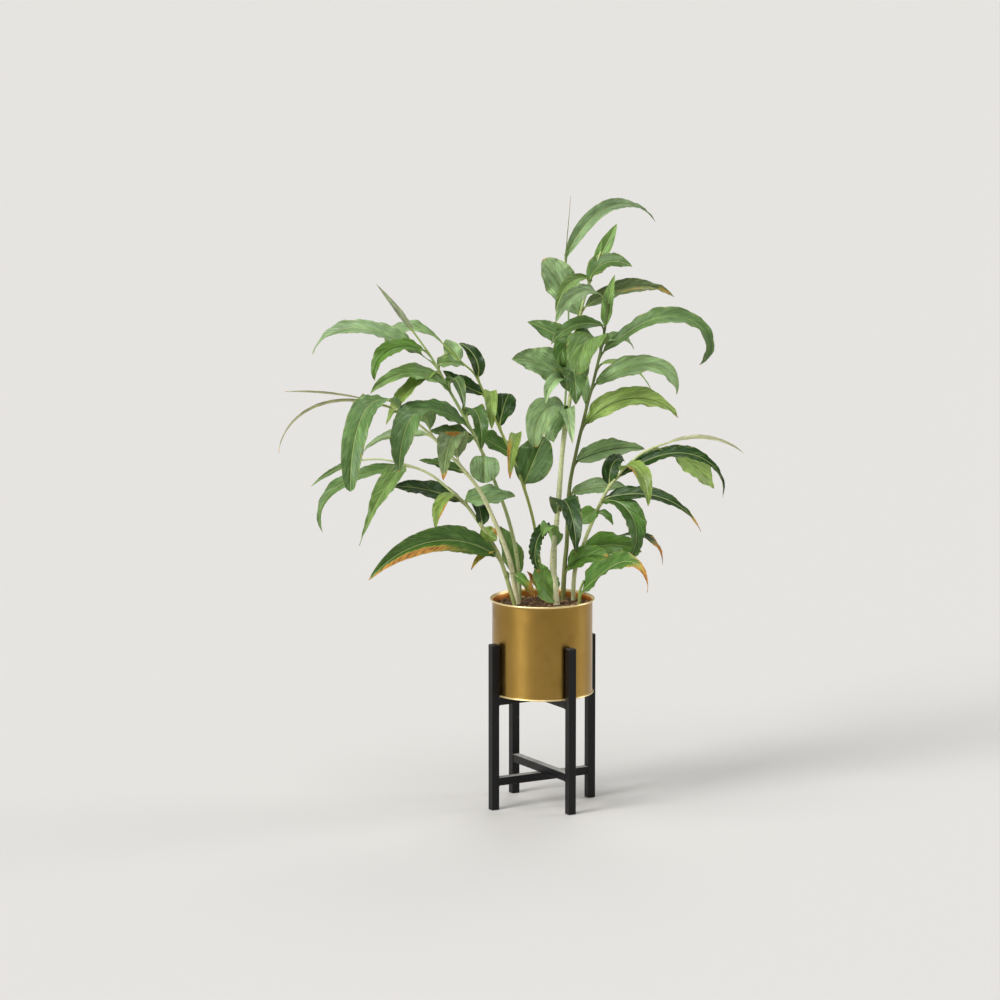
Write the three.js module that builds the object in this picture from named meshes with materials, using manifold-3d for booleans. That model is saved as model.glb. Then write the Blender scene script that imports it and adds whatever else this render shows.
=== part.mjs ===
// A galangal in a gold planter on a black steel stand.
//
// Eight canes and one basal shoot grow out of the soil of a spun metal planter. Each cane carries
// its leaves in two ranks, and cane and leaves are one piece. The planter hangs low between the
// four legs of a square-tube stand and rests on its upper cross. Lengths are in millimetres, +Z is
// up, and the origin is on the floor under the middle of the whole plant.

import * as THREE from "three";
import { mergeVertices } from "three/addons/utils/BufferGeometryUtils.js";
import Module from "manifold-3d";

const wasm = await Module();
wasm.setup();

// Driving dimensions of the stand
const FIT_GAP = 0.3;
const TUBE = 20;
const TUBE_CORNER = 1.5;
const TUBE_WALL = 1.5;
const CAP_PLATE = 2;
const CAP_PLUG = 8;
const CAP_PLAY = 0.2;
const TUBE_CORNER_STEPS = 2;
const LEG_HEIGHT = 410;
const LEG_CLEARANCE = 4;
const STAND_YAW = 30;
const CROSS_TOP = 279.5;
const LOWER_BAR_TOP = 100;

// Driving dimensions of the planter
const POT_HEIGHT = 231;
const POT_RADIUS = 122;
const POT_WALL = 1.5;
const POT_FLOOR = 2;
const RIM_RADIUS = 125.5;
const RIM_BEAD = 2.2;
const FOOT_RADIUS = 123.4;
const FOOT_BEAD = 1.8;
const POT_SIDES = 48;

// Driving dimensions of the soil and of the holes that the canes stand in
const SOIL_DROP = 14;
const SOIL_SIDES = 36;
const CANE_DEPTH = 45;
const HOLE_GAP = 0.5;
const HOLE_SEGMENTS = 4;

// The top of the soil from the planter's wall to its middle: share of the radius, and height over
// the soil's level
const SOIL_TOP = [[1, -6], [0.9, -1.2], [0.6, 0], [0, 1.8]];

// Driving dimensions of every leaf. The edges wave by WAVE_HEIGHT of the width, less where the blade
// is narrower than WAVE_FADE, and each leaf's waves start at another phase.
const BLADE_THICKNESS = 1;
const STALK_HALF_WIDTH = 1.8;
const TIP_HALF_WIDTH = 0.5;
const BLADE_FOLD = 14;
const WAVE_HEIGHT = 0.06;
const WAVE_COUNT = 2.5;
const WAVE_FADE = 24;
const PHASE_STEP = 1.7;

// How finely canes and leaves are cut into flat faces
const CANE_SIDES = 8;
const CANE_SEGMENTS = 14;
const SEGMENT_LENGTH = 38;
const MIN_SEGMENTS = 4;
const MAX_SEGMENTS = 9;

// Cutting bodies stick out by OVERCUT, and corners closer than MERGE_GAP are one corner
const OVERCUT = 1;
const MERGE_GAP = 1e-4;

// Each cane: radius at the foot and at the tip, its route from the soil up, and its leaves.
// A leaf row holds: place along the cane from 0 to 1, heading (0 is +X, 90 is +Y), rise of the
// midrib at the root, droop from root to tip, bend (1 droops evenly, more hooks the tip), length,
// width, roll (right edge down), sway of the heading from root to tip, the share of the length that
// is bare stalk, skew, and taper. Angles are in degrees. The widest place lies before the middle
// where skew is under 1, and a taper under 0.8 rounds the blade's end out.
const CANES = {
  cane_a: {
    radii: [6, 2.2],
    route: [
      [-55, 45, 495], [-60, 45, 590], [-80, 40, 690], [-115, 40, 790], [-165, 35, 905],
      [-230, 35, 1025], [-270, 30, 1100], [-330, 30, 1185],
    ],
    leaves: [
      [0.97, 180, 55, 5, 1, 140, 17, -60, 0, 0, 0.55, 0.8],
      [0.84, 175, 35, 105, 2.2, 355, 52, -35, -10, 0.12, 0.72, 0.8],
      [0.89, 205, 20, 125, 1.8, 195, 48, -30, 10, 0.05, 0.72, 0.8],
      [0.72, 205, 60, 105, 1, 265, 50, -38, 5, 0.05, 0.72, 0.8],
      [0.61, 205, 45, 60, 1, 230, 58, -38, 0, 0.05, 0.72, 0.8],
      [0.59, 215, 5, -15, 1.2, 135, 56, -45, 0, 0.05, 0.72, 0.8],
      [0.65, -70, 60, 170, 1, 200, 48, 0, -5, 0.05, 0.72, 0.8],
      [0.76, -75, 65, 140, 0.8, 175, 34, 0, 5, 0.05, 0.72, 0.8],
      [0.84, 30, 10, 35, 1.2, 80, 48, 30, 0, 0.05, 0.72, 0.8],
      [0.82, 215, -5, 60, 0.8, 200, 42, -20, -5, 0.05, 0.72, 0.8],
      [0.53, -85, -45, 40, 1, 74, 74, 0, 5, 0.05, 1, 0.5],
      [0.13, 175, 70, 0, 1.4, 135, 60, -50, 0, 0.05, 0.72, 0.8],
    ],
  },
  cane_b: {
    radii: [7.5, 2.5],
    route: [
      [-60, -15, 495], [-75, -25, 590], [-100, -45, 670], [-145, -65, 775], [-185, -80, 835],
      [-225, -90, 880], [-270, -100, 930], [-320, -110, 975], [-350, -115, 995],
    ],
    leaves: [
      [0.98, 240, 40, 130, 1, 430, 64, -8, 20, 0.05, 0.9, 0.4],
      [0.99, 195, 25, 25, 0.8, 285, 7, -40, -5, 0, 1.5, 0.8],
      [0.98, 195, 20, 105, 1.8, 365, 10, -40, -5, 0.05, 0.72, 0.8],
      [0.84, 165, 0, 55, 2.2, 185, 32, -42, -5, 0.05, 0.72, 0.8],
      [0.84, 250, 80, 170, 0.8, 310, 74, 0, 0, 0.05, 0.85, 0.7],
      [0.69, 265, 95, 175, 0.8, 270, 66, 0, -10, 0.05, 0.72, 0.8],
      [0.64, 190, 20, 10, 1.6, 120, 36, -38, 0, 0.05, 0.72, 0.8],
      [0.2, -10, -40, 25, 1.6, 85, 34, 30, 0, 0.05, 0.72, 0.8],
    ],
  },
  cane_c: {
    radii: [5, 2],
    route: [
      [5, 60, 495], [-5, 70, 575], [-20, 80, 680], [-45, 90, 770], [-80, 100, 860],
      [-110, 105, 925], [-160, 120, 1035], [-200, 125, 1075], [-240, 130, 1115],
    ],
    leaves: [
      [0.99, 180, 46, 150, 1.8, 190, 42, -40, 0, 0, 1.8, 0.7],
      [0.92, 155, 45, -15, 1.2, 66, 44, -55, 0, 0.05, 0.72, 0.6],
      [0.84, 150, 115, 100, 0.8, 110, 36, -45, 5, 0.05, 0.72, 0.8],
      [0.78, 175, 20, -20, 1.2, 120, 46, -40, -5, 0.05, 0.72, 0.8],
      [0.74, -90, 70, 170, 1, 205, 32, 0, 5, 0.05, 1.2, 0.8],
      [0.66, 60, 75, 30, 1, 92, 64, 15, 0, 0.05, 1.4, 0.5],
      [0.56, 195, 35, 5, 1, 125, 56, -45, 0, 0.05, 0.72, 0.8],
      [0.45, 45, 60, 5, 1, 135, 94, 45, 0, 0.05, 0.85, 0.6],
      [0.07, 195, 55, -5, 1.2, 80, 32, -40, 0, 0.05, 0.72, 0.8],
      [0.56, -75, 70, 155, 1, 275, 30, 0, -35, 0.05, 1.2, 0.8],
    ],
  },
  cane_d: {
    radii: [5.5, 2.2],
    route: [
      [-65, -45, 495], [-90, -50, 580], [-110, -45, 635], [-145, -35, 690], [-185, -20, 745],
      [-225, -10, 780], [-270, 0, 815], [-320, 10, 835], [-385, 15, 850], [-430, 20, 850],
    ],
    leaves: [
      [0.56, 10, 10, 15, 1.4, 130, 60, 42, 0, 0.05, 0.72, 0.8],
      [0.99, 190, -5, 35, 0.8, 155, 18, -42, 0, 0.05, 0.72, 0.8],
      [0.82, 200, -5, 115, 2.6, 315, 40, -34, -10, 0.05, 0.72, 0.8],
      [0.84, 245, -10, 50, 0.8, 280, 54, -12, -10, 0.05, 0.45, 1.3],
      [0.55, 165, 20, 30, 1.6, 195, 50, -42, -5, 0.05, 0.72, 0.8],
      [0.6, 235, 20, 110, 0.8, 125, 38, -5, 0, 0.05, 0.72, 0.8],
      [0.43, 105, 70, 160, 2, 105, 46, 20, -5, 0.05, 0.72, 0.8],
      [0.43, -25, -50, -40, 1.6, 50, 42, 45, 0, 0.05, 0.9, 0.5],
      [0.28, 210, 40, 85, 1, 400, 68, -60, 0, 0.05, 0.62, 0.8],
      [0.32, 225, 10, 65, 1, 100, 18, -30, 0, 0.05, 0.72, 0.8],
      [0.19, 180, 85, 30, 1.4, 30, 16, -40, 0, 0.05, 0.72, 0.8],
    ],
  },
  cane_e: {
    radii: [8, 2.5],
    route: [
      [35, -20, 495], [30, -20, 560], [25, -20, 600], [30, -15, 660], [40, -15, 760],
      [50, -10, 890], [80, -5, 1100], [90, -5, 1205], [115, 0, 1290], [140, 0, 1360],
    ],
    leaves: [
      [0.96, 30, 60, 5, 1.4, 115, 34, 55, 5, 0, 0.72, 0.8],
      [0.82, 195, 62, 10, 1, 170, 84, -80, 0, 0.05, 1.2, 0.5],
      [0.91, -20, 90, 120, 0.8, 140, 54, 50, 0, 0.05, 0.6, 0.8],
      [0.92, 225, 35, 115, 0.8, 160, 28, -40, 0, 0.05, 0.72, 0.8],
      [0.84, 15, 30, 70, 1.8, 250, 46, 42, 0, 0.05, 0.72, 0.8],
      [0.74, 170, 30, 10, 1.6, 135, 56, -50, 5, 0.05, 0.72, 0.8],
      [0.74, 235, 50, 210, 1.2, 125, 50, -10, 0, 0.05, 0.72, 0.8],
      [0.65, 195, 35, 40, 1.8, 165, 84, -62, -5, 0.05, 0.72, 0.8],
      [0.62, 235, 75, 165, 1, 155, 38, -20, 0, 0.05, 0.72, 0.8],
      [0.61, -85, 80, 180, 1.2, 215, 80, 0, 0, 0.05, 0.72, 0.8],
      [0.57, 230, 35, 145, 1.2, 195, 70, -20, 5, 0.05, 0.8, 0.6],
      [0.56, 230, -15, 110, 2, 95, 60, -10, -5, 0.05, 0.72, 0.8],
      [0.52, -95, 85, 155, 0.8, 230, 42, 0, 20, 0.05, 0.72, 0.8],
      [0.28, -80, 85, 180, 0.8, 275, 60, 0, 10, 0.05, 0.72, 0.8],
      [0.2, 245, 95, 170, 1.6, 120, 48, -20, 0, 0.05, 0.72, 0.8],
      [0.06, 200, 50, -30, 1.2, 120, 70, -72, 0, 0.05, 0.72, 0.8],
      [0.26, 225, 40, 170, 0.7, 165, 34, -20, 5, 0.05, 0.72, 0.8],
    ],
  },
  cane_f: {
    radii: [6.5, 2.2],
    route: [
      [50, 35, 495], [55, 35, 590], [60, 35, 645], [65, 30, 770], [80, 15, 860],
      [105, -5, 975], [120, -15, 1035], [140, -30, 1125], [150, -35, 1180], [160, -40, 1240],
    ],
    leaves: [
      [0.93, 15, 85, 15, 1.6, 125, 30, 55, 0, 0, 0.72, 0.8],
      [0.84, 0, 40, 185, 2.4, 380, 48, 42, 0, 0.03, 0.9, 0.6],
      [0.74, 0, 30, 130, 2.4, 255, 58, 44, -5, 0.04, 0.72, 0.7],
      [0.6, -5, 50, 105, 1.4, 275, 62, 46, 5, 0.05, 0.72, 0.8],
      [0.49, 10, 25, 35, 1.2, 180, 56, 48, 0, 0.05, 0.72, 0.8],
      [0.39, -10, 20, 35, 1.4, 155, 44, 48, -5, 0.05, 0.72, 0.8],
      [0.15, -30, 45, 70, 1.4, 150, 60, 52, 0, 0.05, 0.72, 0.8],
      [0.67, 100, 40, 15, 1.4, 130, 26, 15, -20, 0.05, 0.72, 0.8],
      [0.93, 200, 15, 75, 1.4, 155, 42, -36, -5, 0.05, 0.72, 0.8],
      [0.86, 245, 60, 160, 1, 190, 84, -10, 0, 0.05, 0.9, 0.5],
      [0.88, 30, 25, 90, 1.2, 105, 30, 42, 5, 0.05, 0.72, 0.8],
      [0.8, 45, 25, 90, 0.8, 215, 16, 42, -15, 0.05, 0.72, 0.8],
      [0.99, 220, 70, 140, 0.8, 215, 38, -40, 0, 0.25, 0.72, 0.8],
    ],
  },
  cane_g: {
    radii: [6, 2.2],
    route: [
      [75, 40, 495], [80, 45, 570], [100, 40, 635], [120, 10, 695], [145, -25, 760],
      [170, -40, 805], [225, -50, 865], [265, -55, 890], [305, -60, 905],
    ],
    leaves: [
      [0.7, -10, 36, 140, 2, 350, 44, 38, 10, 0.05, 0.6, 1],
      [0.99, -5, 20, 60, 1.2, 195, 13, 42, 5, 0, 0.72, 0.8],
      [0.93, 20, -15, 40, 1, 195, 70, 60, 0, 0.3, 0.7, 0.8],
      [0.74, -60, 50, 145, 1, 200, 46, 10, -5, 0.05, 0.72, 0.8],
      [0.6, -15, 15, 80, 1.6, 280, 44, 38, -5, 0.05, 0.5, 1.2],
      [0.67, 50, 100, 150, 1.6, 105, 42, 42, -5, 0.05, 0.72, 0.8],
      [0.54, 225, -20, -5, 1.2, 105, 48, -34, 0, 0.05, 0.72, 0.8],
      [0.53, -40, 0, 55, 0.8, 60, 26, 10, 0, 0.05, 0.72, 0.8],
      [0.56, -40, 50, 190, 0.8, 240, 58, 20, 5, 0.05, 0.72, 0.8],
      [0.3, 15, 20, 50, 1.2, 160, 66, 45, 0, 0.05, 0.72, 0.8],
      [0.26, 35, 28, 120, 2.2, 300, 28, 38, -10, 0.05, 2.8, 1.2],
    ],
  },
  cane_h: {
    radii: [5, 1.8],
    route: [[30, 75, 495], [35, 80, 700], [50, 80, 900], [62, 75, 1100], [62, 70, 1250], [54, 65, 1345]],
    leaves: [
      [0.99, 45, 55, 105, 1.4, 360, 36, 45, -5, 0, 0.72, 0.8],
      [0.99, 0, 85, 0, 1.2, 150, 3, 0, 0, 0, 0.72, 0.8],
    ],
  },
  basal_shoot: {
    radii: [4.5, 3],
    route: [[90, -45, 495], [90, -50, 535], [100, -55, 565]],
    leaves: [
      [0.7, -45, 38, 150, 3.4, 320, 86, 48, -10, 0.05, 0.45, 1.5],
    ],
  },
};

const blackSteel = new THREE.MeshStandardMaterial({ color: 0x17181a, roughness: 0.55, metalness: 0.2 });
const blackPlastic = new THREE.MeshStandardMaterial({ color: 0x1d1c1b, roughness: 0.65, metalness: 0 });
const goldMetal = new THREE.MeshStandardMaterial({ color: 0xb8923f, roughness: 0.35, metalness: 1 });
const darkSoil = new THREE.MeshStandardMaterial({ color: 0x3a2618, roughness: 1, metalness: 0 });
const leafGreen = new THREE.MeshStandardMaterial({ color: 0x5f9150, roughness: 0.6, metalness: 0 });

const radians = THREE.MathUtils.degToRad;
const UP = new THREE.Vector3(0, 0, 1);

// The closed body of a geometry, with its shared corners merged
function solidOf(geometry) {
  const bare = geometry.clone();
  bare.deleteAttribute("normal");
  bare.deleteAttribute("uv");
  const merged = mergeVertices(bare, MERGE_GAP);
  const vertProperties = new Float32Array(merged.attributes.position.array);
  const triVerts = new Uint32Array(merged.index.array);
  return new wasm.Manifold(new wasm.Mesh({ numProp: 3, vertProperties, triVerts }));
}

// The geometry of a solid that was joined or cut
function geometryOf(solid) {
  const mesh = solid.getMesh();
  const geometry = new THREE.BufferGeometry();
  geometry.setAttribute("position", new THREE.BufferAttribute(new Float32Array(mesh.vertProperties), 3));
  geometry.setIndex(new THREE.BufferAttribute(new Uint32Array(mesh.triVerts), 1));
  return geometry;
}

// A geometry of the given points and of triangles that name three of them each
function geometryFrom(points, faces) {
  const geometry = new THREE.BufferGeometry();
  const positions = points.flatMap((point) => point.toArray());
  geometry.setAttribute("position", new THREE.Float32BufferAttribute(positions, 3));
  geometry.setIndex(faces.flat());
  return geometry;
}

// A square outline with slightly rounded corners
function tubeOutline() {
  const flat = TUBE / 2 - TUBE_CORNER;
  const outline = new THREE.Shape();
  outline.absarc(flat, flat, TUBE_CORNER, 0, Math.PI / 2);
  outline.absarc(-flat, flat, TUBE_CORNER, Math.PI / 2, Math.PI);
  outline.absarc(-flat, -flat, TUBE_CORNER, Math.PI, 1.5 * Math.PI);
  outline.absarc(flat, -flat, TUBE_CORNER, 1.5 * Math.PI, 2 * Math.PI);
  return outline;
}

// A plain square outline, half as wide as given on each side of the middle
function squareOutline(half) {
  return new THREE.Shape([
    new THREE.Vector2(-half, -half), new THREE.Vector2(half, -half),
    new THREE.Vector2(half, half), new THREE.Vector2(-half, half),
  ]);
}

// A bar of the given outline along +Z from 0
function extruded(outline, depth) {
  return new THREE.ExtrudeGeometry(outline, {
    depth, bevelEnabled: false, curveSegments: TUBE_CORNER_STEPS,
  });
}

// A length of square tube, open at both ends, along +Z from 0
function tubeBar(length) {
  const bore = extruded(squareOutline(TUBE / 2 - TUBE_WALL), length + 2 * OVERCUT);
  bore.translate(0, 0, -OVERCUT);
  return geometryOf(solidOf(extruded(tubeOutline(), length)).subtract(solidOf(bore)));
}

// A moulded end cap: a plate over the tube's end and a plug that goes inside it, up from Z = 0
function capGeometry() {
  const plug = extruded(squareOutline(TUBE / 2 - TUBE_WALL - CAP_PLAY), CAP_PLATE + CAP_PLUG);
  return geometryOf(solidOf(extruded(tubeOutline(), CAP_PLATE)).add(solidOf(plug)));
}

// Four legs outside the planter and the two crosses between them
function buildStand() {
  const stand = new THREE.Group();
  stand.rotation.z = radians(STAND_YAW);
  const insideFace = POT_RADIUS + LEG_CLEARANCE;
  const legAxis = insideFace + TUBE / 2;
  const corners = { front_left: 180, back_right: 0, front_right: 270, back_left: 90 };
  for (const [corner, turn] of Object.entries(corners)) {
    const angle = radians(turn);
    const place = new THREE.Vector3(legAxis * Math.cos(angle), legAxis * Math.sin(angle), 0);
    const leg = new THREE.Mesh(tubeBar(LEG_HEIGHT - 2 * (CAP_PLATE + FIT_GAP)), blackSteel);
    leg.name = `leg_${corner}`;
    leg.position.copy(place).setZ(CAP_PLATE + FIT_GAP);
    const foot = new THREE.Mesh(capGeometry(), blackPlastic);
    foot.name = `foot_cap_${corner}`;
    foot.position.copy(place);
    const top = new THREE.Mesh(capGeometry(), blackPlastic);
    top.name = `top_cap_${corner}`;
    top.position.copy(place).setZ(LEG_HEIGHT);
    top.rotation.x = Math.PI;
    stand.add(leg, foot, top);
  }
  const reach = insideFace - FIT_GAP;
  const shortStart = TUBE / 2 + FIT_GAP;
  const lowest = LOWER_BAR_TOP - TUBE - FIT_GAP;
  const bars = [
    { name: "upper_cross_long", top: CROSS_TOP, turn: 0, from: -reach, to: reach },
    { name: "upper_cross_short_front", top: CROSS_TOP, turn: 90, from: -reach, to: -shortStart },
    { name: "upper_cross_short_back", top: CROSS_TOP, turn: 90, from: shortStart, to: reach },
    { name: "lower_cross_top_bar", top: LOWER_BAR_TOP, turn: 90, from: -reach, to: reach },
    { name: "lower_cross_bottom_bar", top: lowest, turn: 0, from: -reach, to: reach },
  ];
  for (const bar of bars) {
    const mesh = new THREE.Mesh(tubeBar(bar.to - bar.from), blackSteel);
    mesh.name = bar.name;
    mesh.rotation.order = "ZYX";
    mesh.rotation.y = Math.PI / 2;
    mesh.rotation.z = radians(bar.turn);
    const along = new THREE.Vector3(Math.cos(radians(bar.turn)), Math.sin(radians(bar.turn)), 0);
    mesh.position.copy(along.multiplyScalar(bar.from));
    mesh.position.z = bar.top - TUBE / 2;
    stand.add(mesh);
  }
  return stand;
}

// The planter's height over the floor, at its underside and at the middle of its rim bead
const potBottom = CROSS_TOP + FIT_GAP;
const rimHeight = potBottom + POT_HEIGHT;

// Points round part of a bead, from one angle to another
function beadPoints(radius, height, bead, from, to, steps) {
  const points = [];
  for (let i = 0; i <= steps; i += 1) {
    const angle = radians(from + ((to - from) * i) / steps);
    points.push(new THREE.Vector2(radius + bead * Math.cos(angle), height + bead * Math.sin(angle)));
  }
  return points;
}

// A spun can with a rolled bead round its rim and another round its foot
function buildPot() {
  const footHeight = potBottom + FOOT_BEAD;
  const inside = POT_RADIUS - POT_WALL;
  const profile = [
    new THREE.Vector2(0, potBottom),
    ...beadPoints(FOOT_RADIUS, footHeight, FOOT_BEAD, -90, 120, 5),
    ...beadPoints(RIM_RADIUS, rimHeight, RIM_BEAD, -150, 150, 7),
    new THREE.Vector2(inside, rimHeight - RIM_BEAD),
    new THREE.Vector2(inside, potBottom + POT_FLOOR),
    new THREE.Vector2(0, potBottom + POT_FLOOR),
  ];
  const pot = new THREE.Mesh(new THREE.LatheGeometry(profile, POT_SIDES), goldMetal);
  pot.geometry.rotateX(Math.PI / 2);
  pot.name = "pot";
  return pot;
}

// The middle line of a cane, carried straight on into the soil below its foot
function caneCurve(cane) {
  const points = cane.route.map((place) => new THREE.Vector3(...place));
  const start = points[1].clone().sub(points[0]).normalize();
  const foot = points[0].clone().addScaledVector(start, -CANE_DEPTH);
  return new THREE.CatmullRomCurve3([foot, ...points], false, "catmullrom");
}

// A round stem along part of a curve. It thins evenly from the foot to the tip of the whole curve,
// and a swell makes it thicker all along.
function stemGeometry(curve, radii, swell, from, to, segments) {
  const points = [];
  const faces = [];
  for (let i = 0; i <= segments; i += 1) {
    const place = from + ((to - from) * i) / segments;
    const centre = curve.getPointAt(place);
    const tangent = curve.getTangentAt(place);
    const side = new THREE.Vector3(0, 1, 0).cross(tangent).normalize();
    const other = tangent.clone().cross(side);
    const radius = THREE.MathUtils.lerp(radii[0], radii[1], place) + swell;
    for (let k = 0; k < CANE_SIDES; k += 1) {
      const angle = (2 * Math.PI * k) / CANE_SIDES;
      const corner = centre.clone().addScaledVector(side, radius * Math.cos(angle));
      points.push(corner.addScaledVector(other, radius * Math.sin(angle)));
    }
  }
  for (let i = 0; i < segments; i += 1) {
    for (let k = 0; k < CANE_SIDES; k += 1) {
      const low = i * CANE_SIDES + k;
      const next = i * CANE_SIDES + ((k + 1) % CANE_SIDES);
      faces.push([low, next, next + CANE_SIDES], [low, next + CANE_SIDES, low + CANE_SIDES]);
    }
  }
  const last = segments * CANE_SIDES;
  for (let k = 1; k < CANE_SIDES - 1; k += 1) {
    faces.push([0, k + 1, k], [last, last + k, last + k + 1]);
  }
  return geometryFrom(points, faces);
}

// Half the width of a blade at a place from its root, 0, to its tip, 1: a narrow stalk, and then a
// swell and a tapered tip
function halfWidth(place, width, stalk, skew, taper) {
  const blade = Math.max(0, (place - stalk) / (1 - stalk));
  const swell = Math.sin(Math.PI * Math.min(1, blade) ** skew) ** taper;
  const least = THREE.MathUtils.lerp(STALK_HALF_WIDTH, TIP_HALF_WIDTH, place);
  return Math.max(least, (width / 2) * swell);
}

// One leaf: its midrib leaves the cane at a rise and droops more and more towards the tip, and
// its two halves stand a little up from the midrib, with a slow wave along each edge
function leafGeometry(root, row, wavePhase) {
  const [, heading, rise, droop, bend, length, width, roll, sway, stalk, skew, taper] = row;
  const segments = THREE.MathUtils.clamp(Math.round(length / SEGMENT_LENGTH), MIN_SEGMENTS, MAX_SEGMENTS);
  const step = length / segments;
  const centre = root.clone();
  const top = [];
  const bottom = [];
  for (let i = 0; i <= segments; i += 1) {
    const place = i / segments;
    const pitch = radians(rise - droop * place ** bend);
    const turn = radians(heading + sway * place);
    const ahead = new THREE.Vector3(Math.cos(turn), Math.sin(turn), 0);
    const tangent = ahead.clone().multiplyScalar(Math.cos(pitch)).addScaledVector(UP, Math.sin(pitch));
    const level = ahead.clone().cross(UP);
    const normal = level.clone().cross(tangent).applyAxisAngle(tangent, radians(roll));
    const side = level.applyAxisAngle(tangent, radians(roll));
    const half = halfWidth(place, width, stalk, skew, taper);
    for (const across of [-1, 0, 1]) {
      const wave = WAVE_HEIGHT * width * Math.sin(2 * Math.PI * WAVE_COUNT * place + wavePhase + across);
      const edge = half * Math.tan(radians(BLADE_FOLD)) + wave * Math.min(1, (2 * half) / WAVE_FADE);
      const lift = across === 0 ? 0 : edge;
      const point = centre.clone().addScaledVector(side, across * half).addScaledVector(normal, lift);
      top.push(point.clone().addScaledVector(normal, BLADE_THICKNESS / 2));
      bottom.push(point.addScaledVector(normal, -BLADE_THICKNESS / 2));
    }
    const middle = radians(rise - droop * Math.min(1, place + 0.5 / segments) ** bend);
    const forward = ahead.multiplyScalar(Math.cos(middle)).addScaledVector(UP, Math.sin(middle));
    centre.addScaledVector(forward, step);
  }
  return geometryFrom([...top, ...bottom], bladeFaces(segments));
}

// The faces of a blade three points wide. Both faces are split along the same diagonals, which
// run from the midrib out and forward, so the two faces never cross.
function bladeFaces(segments) {
  const count = 3 * (segments + 1);
  const faces = [];
  const under = (face) => faces.push([...face].reverse().map((corner) => corner + count));
  for (let i = 0; i < segments; i += 1) {
    const left = 3 * i;
    const mid = left + 1;
    const right = left + 2;
    const blade = [
      [mid, left + 3, left], [mid, mid + 3, left + 3],
      [mid, right, right + 3], [mid, right + 3, mid + 3],
    ];
    for (const face of blade) {
      faces.push(face);
      under(face);
    }
    faces.push([left, left + 3, left + 3 + count], [left, left + 3 + count, left + count]);
    faces.push([right, right + 3 + count, right + 3], [right, right + count, right + 3 + count]);
  }
  const end = 3 * segments;
  for (const k of [0, 1]) {
    faces.push([k, k + count, k + 1 + count], [k, k + 1 + count, k + 1]);
    const tip = end + k;
    faces.push([tip, tip + 1 + count, tip + count], [tip, tip + 1, tip + 1 + count]);
  }
  return faces;
}

// The one large body of a joined solid, without the pockets that crossing blades seal
function outerBody(solid) {
  return solid.decompose().reduce((one, other) => (one.volume() > other.volume() ? one : other));
}

// A cane with all its leaves, joined as one body
function buildCane(name, cane) {
  const curve = caneCurve(cane);
  let body = solidOf(stemGeometry(curve, cane.radii, 0, 0, 1, CANE_SEGMENTS));
  cane.leaves.forEach((row, index) => {
    const root = curve.getPointAt(row[0]);
    body = body.add(solidOf(leafGeometry(root, row, PHASE_STEP * index)));
  });
  const mesh = new THREE.Mesh(geometryOf(outerBody(body)), leafGreen);
  mesh.name = name;
  return mesh;
}

// Soil up to just under the rim, mounded a little to the middle, with a hole round every cane
function buildSoil() {
  const level = rimHeight - SOIL_DROP;
  const radius = POT_RADIUS - POT_WALL - HOLE_GAP;
  const profile = [
    new THREE.Vector2(0, potBottom + POT_FLOOR + FIT_GAP),
    new THREE.Vector2(radius, potBottom + POT_FLOOR + FIT_GAP),
    ...SOIL_TOP.map(([share, over]) => new THREE.Vector2(share * radius, level + over)),
  ];
  const heap = new THREE.LatheGeometry(profile, SOIL_SIDES);
  heap.rotateX(Math.PI / 2);
  let soil = solidOf(heap);
  for (const cane of Object.values(CANES)) {
    const curve = caneCurve(cane);
    const above = (2 * CANE_DEPTH) / curve.getLength();
    const hole = stemGeometry(curve, cane.radii, HOLE_GAP, 0, above, HOLE_SEGMENTS);
    soil = soil.subtract(solidOf(hole));
  }
  const mesh = new THREE.Mesh(geometryOf(soil), darkSoil);
  mesh.name = "soil";
  return mesh;
}

const group = new THREE.Group();
group.add(buildStand(), buildPot(), buildSoil());
for (const [name, cane] of Object.entries(CANES)) {
  group.add(buildCane(name, cane));
}

// The origin lies under the middle of the whole, so everything is moved level by that much
const extent = new THREE.Box3().setFromObject(group);
const middle = extent.getCenter(new THREE.Vector3());
group.position.set(-middle.x, -middle.y, 0);
group.updateMatrixWorld(true);

export default group;
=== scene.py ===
import math

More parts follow.
